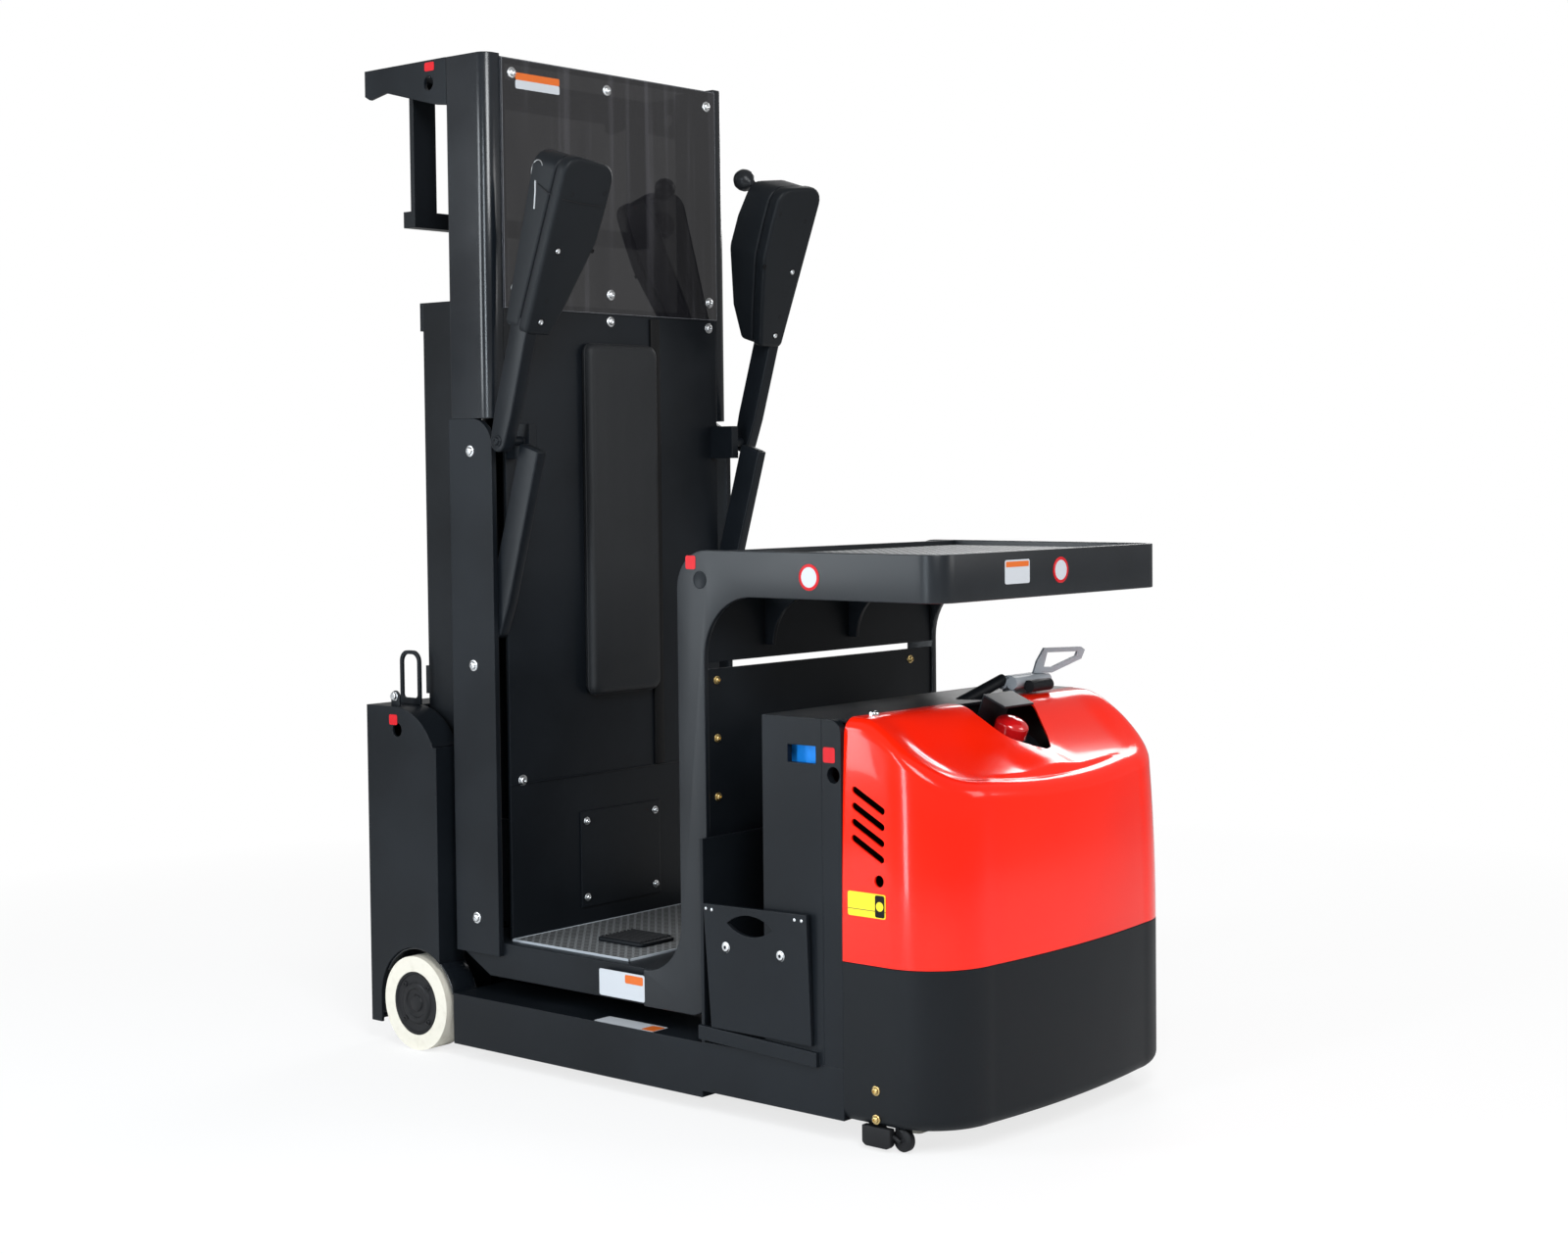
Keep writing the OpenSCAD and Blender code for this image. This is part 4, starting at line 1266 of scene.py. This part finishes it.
    def pedal(self) -> None:
        """Builds the foot switch: a low ribbed pad in a frame."""
        z = 0.254
        plate = Form().prism(soft_box((-0.262, -0.225), (-0.130, -0.125), 0.010), "xy", z, z + 0.0085)
        place(plate.done("switch_plate", self.finish["shell_black"], bevel=0.0025, steps=3), "cab", "shell_black",
              "foot_switch")
        ribs = Form()
        for k in range(9):
            y = -0.217 + 0.0105 * k
            ribs.prism(soft_box((-0.254, y - 0.002), (-0.138, y + 0.002), 0.0018, 3), "xy", z + 0.008, z + 0.0115)
        place(ribs.done("switch_ribs", self.finish["boot_black"], bevel=0.0006), "cab", "shell_black", "foot_switch")

    def build(self) -> None:
        """Builds every cab piece."""
        self.pad()
        self.fasteners()
        self.seams()
        self.plates()
        self.eyes()
        self.posts()
        self.edging()
        self.pedal()


# Front frame
@dataclass
class FrontFrame:
    """The step's bent side plates and the tray's band, welded into one sheet."""

    finish: Finishes
    outer: float = 0.356
    inner: float = 0.344
    low: float = 0.989
    high: float = 1.076
    joint: float = 0.700
    front: float = 0.755
    rear: float = 0.237

    def sheet(self) -> None:
        """Builds the side plates and the band in one mesh, with the lashing eyes cut."""
        form = Form()
        outline = rounded([(0.008, 0.178, 0.0), (0.183, 0.178, 0.045), (0.183, self.low, 0.12),
                           (self.joint, self.low, 0.0), (self.joint, self.high, 0.0), (0.112, self.high, 0.075),
                           (0.112, 0.250, 0.104), (0.008, 0.250, 0.0)], 12)
        for side in Side:
            form.prism(outline, "xz", *sorted((side.value * self.inner, side.value * self.outer)))
        out, inn, nose, back = self.outer, self.inner, self.front, self.front - 0.012
        band = rounded([(self.joint, -out, 0.0), (nose, -out, 0.045), (nose, out, 0.045), (self.joint, out, 0.0),
                        (self.joint, inn, 0.0), (back, inn, 0.033), (back, -inn, 0.033), (self.joint, -inn, 0.0)], 10)
        form.prism(band, "xy", self.low, self.high)
        shut = [f for f in form.bm.faces if all(abs(v.co.x - self.joint) < 0.00001 for v in f.verts)]
        bmesh.ops.delete(form.bm, geom=shut, context="FACES_ONLY")
        bmesh.ops.remove_doubles(form.bm, verts=form.bm.verts, dist=0.00002)
        flat = [e for e in form.bm.edges if len(e.link_faces) == 2 and e.calc_face_angle(1.0) < 0.0005]
        bmesh.ops.dissolve_edges(form.bm, edges=flat, use_verts=False)
        sheet = form.done("front_frame_sheet", self.finish["band_satin"], bevel=0.0018, steps=3, angle=40)
        cutters = [Form().lathe([(0.001, -0.03), (0.015, -0.03), (0.015, 0.03), (0.001, 0.03)],
                                (0.174, side.value * 0.350, 1.019), (0, 1, 0), 48).done("eye_cut", self.finish["frame_black"])
                   for side in Side]
        carve(sheet, cutters)
        sharpen(sheet, 40)
        place(sheet, "cab", "frame_black", "front_frame_near", "front_frame_far", "frame_feet", "tray_arms")

    def deck(self) -> None:
        """Builds the tray's deck and rear wall inside the band."""
        inn, nose = self.inner - 0.0004, self.front - 0.0124
        form = Form().prism(rounded([(self.rear, -inn, 0.0), (nose, -inn, 0.033), (nose, inn, 0.033),
                                     (self.rear, inn, 0.0)], 8), "xy", 1.050, 1.060)
        form.prism([(self.rear, self.low), (self.rear + 0.008, self.low), (self.rear + 0.008, self.high),
                    (self.rear, self.high)], "xz", -inn, inn)
        place(form.done("tray_deck", self.finish["frame_black"], bevel=0.0012), "cab", "frame_black", "tray")

    def build(self) -> None:
        """Builds the sheet and the deck."""
        self.sheet()
        self.deck()


# Wheels
@dataclass
class Wheels:
    """Hubs and mudguards of the drive wheels."""

    finish: Finishes
    centre: Flat = (-0.650, 0.100)
    face: float = 0.384

    def hub(self, side: Side) -> None:
        """Builds one black hub with its ring and four bosses."""
        s = side.value
        middle = (self.centre[0], s * self.face, self.centre[1])
        profile = [(0.0655, -0.0058), (0.0655, -0.0012), (0.0630, 0.0), (0.0585, 0.0), (0.0560, -0.0030),
                   (0.0420, -0.0036), (0.0400, -0.0008), (0.0360, 0.0002), (0.0300, 0.0), (0.0275, -0.0030),
                   (0.0170, -0.0034), (0.0155, -0.0006), (0.0120, 0.0002), (0.0010, 0.0002)]
        form = Form().lathe([(r * 1.07, along) for r, along in profile],
                            middle, (0, s, 0), 64)
        body = "wheel_" + side.word
        place(form.done("wheel_hub_" + side.word, self.finish["hub_black"], angle=40), body, "frame_black")
        bosses = Form()
        for k in range(4):
            a = math.radians(45 + 90 * k)
            Bolt(0.0062, 0.0074).add(bosses, (middle[0] + 0.052 * math.cos(a), middle[1] - s * 0.0066,
                                              middle[2] + 0.052 * math.sin(a)), (0, s, 0))
        place(bosses.done("wheel_bosses_" + side.word, self.finish["hub_black"], angle=50), body, "frame_black")

    def guard(self, side: Side) -> None:
        """Builds the curved mudguard over one drive wheel."""
        x, z = self.centre
        outer = [(x + 0.118 * math.cos(a), z + 0.118 * math.sin(a))
                 for a in (math.radians(16 + 134 * k / 30) for k in range(31))]
        inner = [(x + 0.114 * math.cos(a), z + 0.114 * math.sin(a))
                 for a in (math.radians(150 - 134 * k / 30) for k in range(31))]
        form = Form().prism(outer + inner, "xz", *sorted((side.value * 0.312, side.value * 0.376)))
        place(form.done("mudguard_" + side.word, self.finish["post_gloss"], bevel=0.0008, angle=50), "chassis", "frame_black")

    def build(self) -> None:
        """Builds both hubs and mudguards."""
        for side in Side:
            self.hub(side)
            self.guard(side)


# Chassis
@dataclass
class Chassis:
    """Small parts of the chassis: beacon, gate fittings, bolts and plates."""

    finish: Finishes
    half: float = 0.380

    def tilt(self) -> Matrix:
        """The frame of the beacon's seat."""
        return Matrix.Translation((0.605, 0.037, 0.697)) @ Matrix.Rotation(math.radians(22), 4, "Y")

    def beacon(self) -> None:
        """Builds the ribbed lens on its black socket."""
        seat = self.tilt()
        profile = [(0.0330, 0.0200), (0.0332, 0.0400)]
        profile += [(0.0332 * math.cos(a) if a < 1.5 else 0.001, 0.0400 + 0.0155 * math.sin(a))
                    for a in (math.pi / 2 * k / 9 for k in range(1, 10))]
        lens = Form().lathe(profile, (0, 0, 0), (0, 0, 1), 72)
        for v in lens.bm.verts:
            if v.co.z < 0.041:
                around = math.atan2(v.co.y, v.co.x)
                pull = 1 - 0.018 * (0.5 + 0.5 * math.cos(36 * around))
                v.co.x, v.co.y = v.co.x * pull, v.co.y * pull
        lens.turned(seat)
        place(lens.done("beacon_dome", self.finish["lens_red"], angle=50), "chassis", "lens_red", "beacon_lens")
        collar = Form().lathe([(0.0356, 0.001), (0.0362, 0.004), (0.0362, 0.012), (0.0350, 0.0145), (0.0350, 0.0190),
                               (0.0338, 0.0205)], (0, 0, 0), (0, 0, 1), 56).turned(seat)
        place(collar.done("beacon_collar", self.finish["shell_black"], angle=40), "chassis", "shell_black")
        screw = Form()
        Bolt(0.0050, 0.0075).add(screw, tuple(seat @ Vector((-0.020, -0.047, 0.0))), tuple(seat.to_3x3() @ Vector((0, 0, 1))))
        place(screw.done("beacon_screw", self.finish["brass_zinc"], angle=50), "chassis", "zinc_steel")

    def gate(self, side: Side) -> None:
        """Adds the battery gate's bolts and small screws."""
        s = side.value
        form = Form()
        for x, z in ((0.266, 0.3315), (0.404, 0.3315)):
            y = self.half + 0.0004 + 0.008 + (z - 0.173) * math.tan(math.radians(1.6))
            form.lathe([(0.0100, -0.001), (0.0100, 0.0010), (0.0075, 0.0012), (0.0075, 0.0030), (0.0065, 0.0036),
                        (0.0034, 0.0036), (0.0030, 0.0016)], (x, s * min(y, 0.3922), z), (0, s, 0), 24)
        for x, z in ((0.217, 0.400), (0.232, 0.399), (0.441, 0.403), (0.458, 0.403)):
            y = self.half + 0.0004 + 0.008 + (z - 0.173) * math.tan(math.radians(1.6))
            form.lathe([(0.0030, -0.001), (0.0030, 0.0008), (0.0018, 0.0014)], (x, s * min(y, 0.3945), z), (0, s, 0), 16)
        place(form.done("gate_bolts_" + side.word, self.finish["zinc_steel"], angle=50), "chassis", "zinc_steel")

    def fasteners(self) -> None:
        """Adds the shell's brass bolts, the hood's button and the pillar plates."""
        seats = [((0.620, s * self.half, z), (0, s, 0)) for s in (-1, 1) for z in (0.060, 0.112)]
        bolts("shell_bolts", "chassis", self.finish["brass_zinc"], "zinc_steel", seats, Bolt(0.0065, 0.009))
        button = Form()
        button.lathe([(0.0105, -0.002), (0.0105, 0.002), (0.0095, 0.0042), (0.0045, 0.0055), (0.001, 0.0057)],
                     (0.556, -0.300, 0.7805), (0.12, 0, 1), 28)
        place(button.done("hood_button", self.finish["rod_chrome"], angle=40), "chassis", "rod_chrome")
        tabs, heads = Form(), Form()
        for side in Side:
            x, y = -0.7196, side.value * 0.3685
            outline = [(x - 0.014, 0.716), (x + 0.014, 0.716)] + arc((x, 0.748), 0.014, 0, 180, 10)
            tabs.prism(outline, "xz", *sorted((y, y - side.value * 0.004)))
            heads.lathe([(0.0105, -0.001), (0.0105, 0.0016), (0.0086, 0.0018), (0.0086, 0.0070), (0.0078, 0.0080),
                         (0.0010, 0.0080)], (x, y, 0.750), (0, side.value, 0), 6)
        place(tabs.done("cover_tabs", self.finish["frame_black"], bevel=0.0008), "chassis", "frame_black")
        place(heads.done("cover_tab_bolts", self.finish["zinc_steel"], angle=30), "chassis", "zinc_steel")
        red = self.finish["plate_red"]
        blank_plate("pillar_plate", red, "chassis", (0.516, -self.half, 0.710), (1, 0, 0), (0, 0, 1), 0.028, 0.028)
        blank_plate("rear_plate", red, "chassis", (-0.713, -self.half, 0.701), (1, 0, 0), (0, 0, 1), 0.026, 0.022)
        blank_plate("rail_plate", self.finish["plate_pale"], "chassis", (-0.030, -0.355, 0.1368), (1, 0, 0), (0, 1, 0),
                    0.165, 0.044)
        blank_plate("rail_band", self.finish["plate_orange"], "chassis", (0.034, -0.357, 0.1368), (1, 0, 0), (0, 1, 0),
                    0.034, 0.034, 0.0008)
        blank_plate("window_plate", self.finish["plate_pale"], "cab", (-0.412, -0.217, 2.028), (0, 1, 0), (0, 0, 1),
                    0.122, 0.018)
        blank_plate("window_band", self.finish["plate_orange"], "cab", (-0.412, -0.217, 2.0445), (0, 1, 0), (0, 0, 1),
                    0.122, 0.015)

    def skids(self) -> None:
        """Builds the skid feet beside the casters, each with its small roller."""
        feet, rollers = Form(), Form()
        for side in Side:
            s = side.value
            outline = rounded([(0.582, 0.0445, 0.0), (0.582, 0.013, 0.006), (0.590, 0.007, 0.008), (0.640, 0.007, 0.010),
                               (0.648, 0.014, 0.006), (0.648, 0.0445, 0.0)], 4)
            feet.prism(outline, "xz", *sorted((s * 0.3765, s * 0.362)))
            rollers.lathe([(0.001, -0.008), (0.006, -0.008), (0.019, -0.007), (0.021, -0.005), (0.021, 0.005),
                           (0.019, 0.007), (0.008, 0.008), (0.001, 0.008)], (0.662, s * 0.352, 0.0235), (0, s, 0), 40)
            rollers.tube([(0.648, s * 0.366, 0.030), (0.662, s * 0.366, 0.0235), (0.662, s * 0.350, 0.0235)], 0.004, 10)
        place(feet.done("skid_feet", self.finish["hub_black"], bevel=0.002), "chassis", "frame_black")
        place(rollers.done("skid_rollers", self.finish["hub_black"], angle=40), "chassis", "frame_black")

    def build(self) -> None:
        """Builds every small part."""
        self.beacon()
        self.skids()
        self.fasteners()
        for side in Side:
            self.gate(side)


# Studio
@dataclass(frozen=True)
class Studio:
    """Camera, lamps, floor and surroundings."""

    eye: Point = (3.3260, -3.6104, 1.2297)
    heading: Flat = (-0.61936, 0.78511)
    lens: float = 54.424
    shift: Flat = (-0.100, -0.040)
    pitch: float = 2.3449
    roll: float = -0.4542
    fill: float = 0.30
    mirror_share: float = 0.15
    floor_glow: float = 0.76

    def camera(self) -> None:
        """Sets the camera at the photograph's viewpoint."""
        data = bpy.data.cameras.new("viewpoint")
        data.lens, data.sensor_width = self.lens, 36.0
        data.shift_x, data.shift_y = self.shift
        data.clip_end = 60.0
        thing = bpy.data.objects.new("viewpoint", data)
        bpy.context.collection.objects.link(thing)
        down = math.tan(math.radians(self.pitch))
        ahead = Vector((self.heading[0], self.heading[1], -down)).normalized()
        aim = ahead.to_track_quat("-Z", "Y").to_matrix().to_4x4()
        thing.matrix_world = Matrix.Translation(self.eye) @ aim @ Matrix.Rotation(math.radians(self.roll), 4, "Z")
        bpy.context.scene.camera = thing

    def lamp(self, name: str, at: Point, aim: Point, size: Flat, watts: float, tint: Color = (1, 1, 1)) -> None:
        """Adds a soft box lamp.

        Args:
            name: its name.
            at: where it hangs.
            aim: the point it faces.
            size: its width and height.
            watts: its power.
            tint: its colour.
        """
        data = bpy.data.lights.new(name, "AREA")
        data.shape, data.size, data.size_y, data.energy = "RECTANGLE", size[0], size[1], watts
        data.color = tint
        thing = bpy.data.objects.new(name, data)
        bpy.context.collection.objects.link(thing)
        way = Vector(aim) - Vector(at)
        thing.matrix_world = Matrix.Translation(at) @ way.to_track_quat("-Z", "Y").to_matrix().to_4x4()

    def floor(self) -> None:
        """Lays the pale floor that shows white to the camera and keeps the shadow."""
        form = Form()
        size = 30.0
        form.bm.faces.new([form.bm.verts.new(p) for p in
                           ((-size, -size, 0), (size, -size, 0), (size, size, 0), (-size, size, 0))])
        s = Shader("floor_paper")
        grain = s.noise(30.0, 2.0)
        s.finish(Base_Color=s.mix(grain * 0.2, (0.9, 0.9, 0.9), (0.86, 0.86, 0.86)), Roughness=0.7)
        far = ((s.axis(0) * s.axis(0) + s.axis(1) * s.axis(1)) / 12.0).clamped()
        seen = s.add("ShaderNodeLightPath", {}, {}, "Is Camera Ray") * (far * (1.0 - self.floor_glow) + self.floor_glow)
        glow = s.add("ShaderNodeEmission", {}, {"Color": (1.0, 1.0, 1.0, 1.0), "Strength": 1.0})
        both = s.add("ShaderNodeMixShader", {}, {0: seen, 1: Wire(s, s.surface.outputs[0]), 2: glow})
        s.tree.links.new(both.socket, s.output.inputs[0])
        form.done("floor", s.material)

    def world(self) -> None:
        """Surrounds the scene with plain soft light that shows white behind the truck."""
        world = bpy.data.worlds.new("surround")
        world.use_nodes = True
        tree = world.node_tree
        tree.nodes.clear()
        path = tree.nodes.new("ShaderNodeLightPath")
        part = tree.nodes.new("ShaderNodeMath")
        part.operation = "MULTIPLY_ADD"
        part.inputs[1].default_value = self.mirror_share
        tree.links.new(path.outputs["Is Glossy Ray"], part.inputs[0])
        tree.links.new(path.outputs["Is Camera Ray"], part.inputs[2])
        whole = tree.nodes.new("ShaderNodeMath")
        whole.operation, whole.use_clamp = "ADD", True
        tree.links.new(part.outputs[0], whole.inputs[0])
        tree.links.new(path.outputs["Is Transmission Ray"], whole.inputs[1])
        mix = tree.nodes.new("ShaderNodeMixShader")
        out = tree.nodes.new("ShaderNodeOutputWorld")
        for slot, strength in ((1, self.fill), (2, 1.0)):
            light = tree.nodes.new("ShaderNodeBackground")
            light.inputs[0].default_value = (1.0, 1.0, 1.0, 1.0)
            light.inputs[1].default_value = strength
            tree.links.new(light.outputs[0], mix.inputs[slot])
        tree.links.new(whole.outputs[0], mix.inputs[0])
        tree.links.new(mix.outputs[0], out.inputs[0])
        bpy.context.scene.world = world

    def build(self) -> None:
        """Builds everything round the truck."""
        self.camera()
        self.world()
        self.floor()
        self.lamp("key", (3.0, -2.4, 3.4), (0.1, -0.1, 0.9), (1.4, 2.2), 150, (0.95, 0.98, 1.0))
        self.lamp("side", (-2.3, -3.4, 1.8), (-0.3, 0.0, 1.1), (1.0, 2.8), 80, (0.88, 0.95, 1.0))
        self.lamp("strip", (0.40, -3.7, 1.5), (-0.2, 0.0, 1.2), (0.40, 3.0), 60, (0.82, 0.92, 1.0))
        self.lamp("front", (4.0, 1.8, 2.2), (0.3, 0.0, 0.7), (1.6, 1.8), 50)
        self.lamp("rim", (-1.2, 3.4, 2.8), (0.0, 0.0, 1.2), (2.0, 1.4), 60)
        bpy.context.scene.view_settings.view_transform = "Standard"
        LOG.info("studio ready")


def main() -> None:
    """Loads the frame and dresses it."""
    logging.basicConfig(level=logging.INFO, format="%(name)s: %(message)s")
    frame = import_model()
    Studio().build()
    finish = Finishes()
    finish.dress_frame(frame)
    Hood(finish).build()
    for part in (Chassis(finish), Wheels(finish), Cab(finish), FrontFrame(finish), Arms(finish)):
        part.build()


if __name__ == "__main__":
    main()
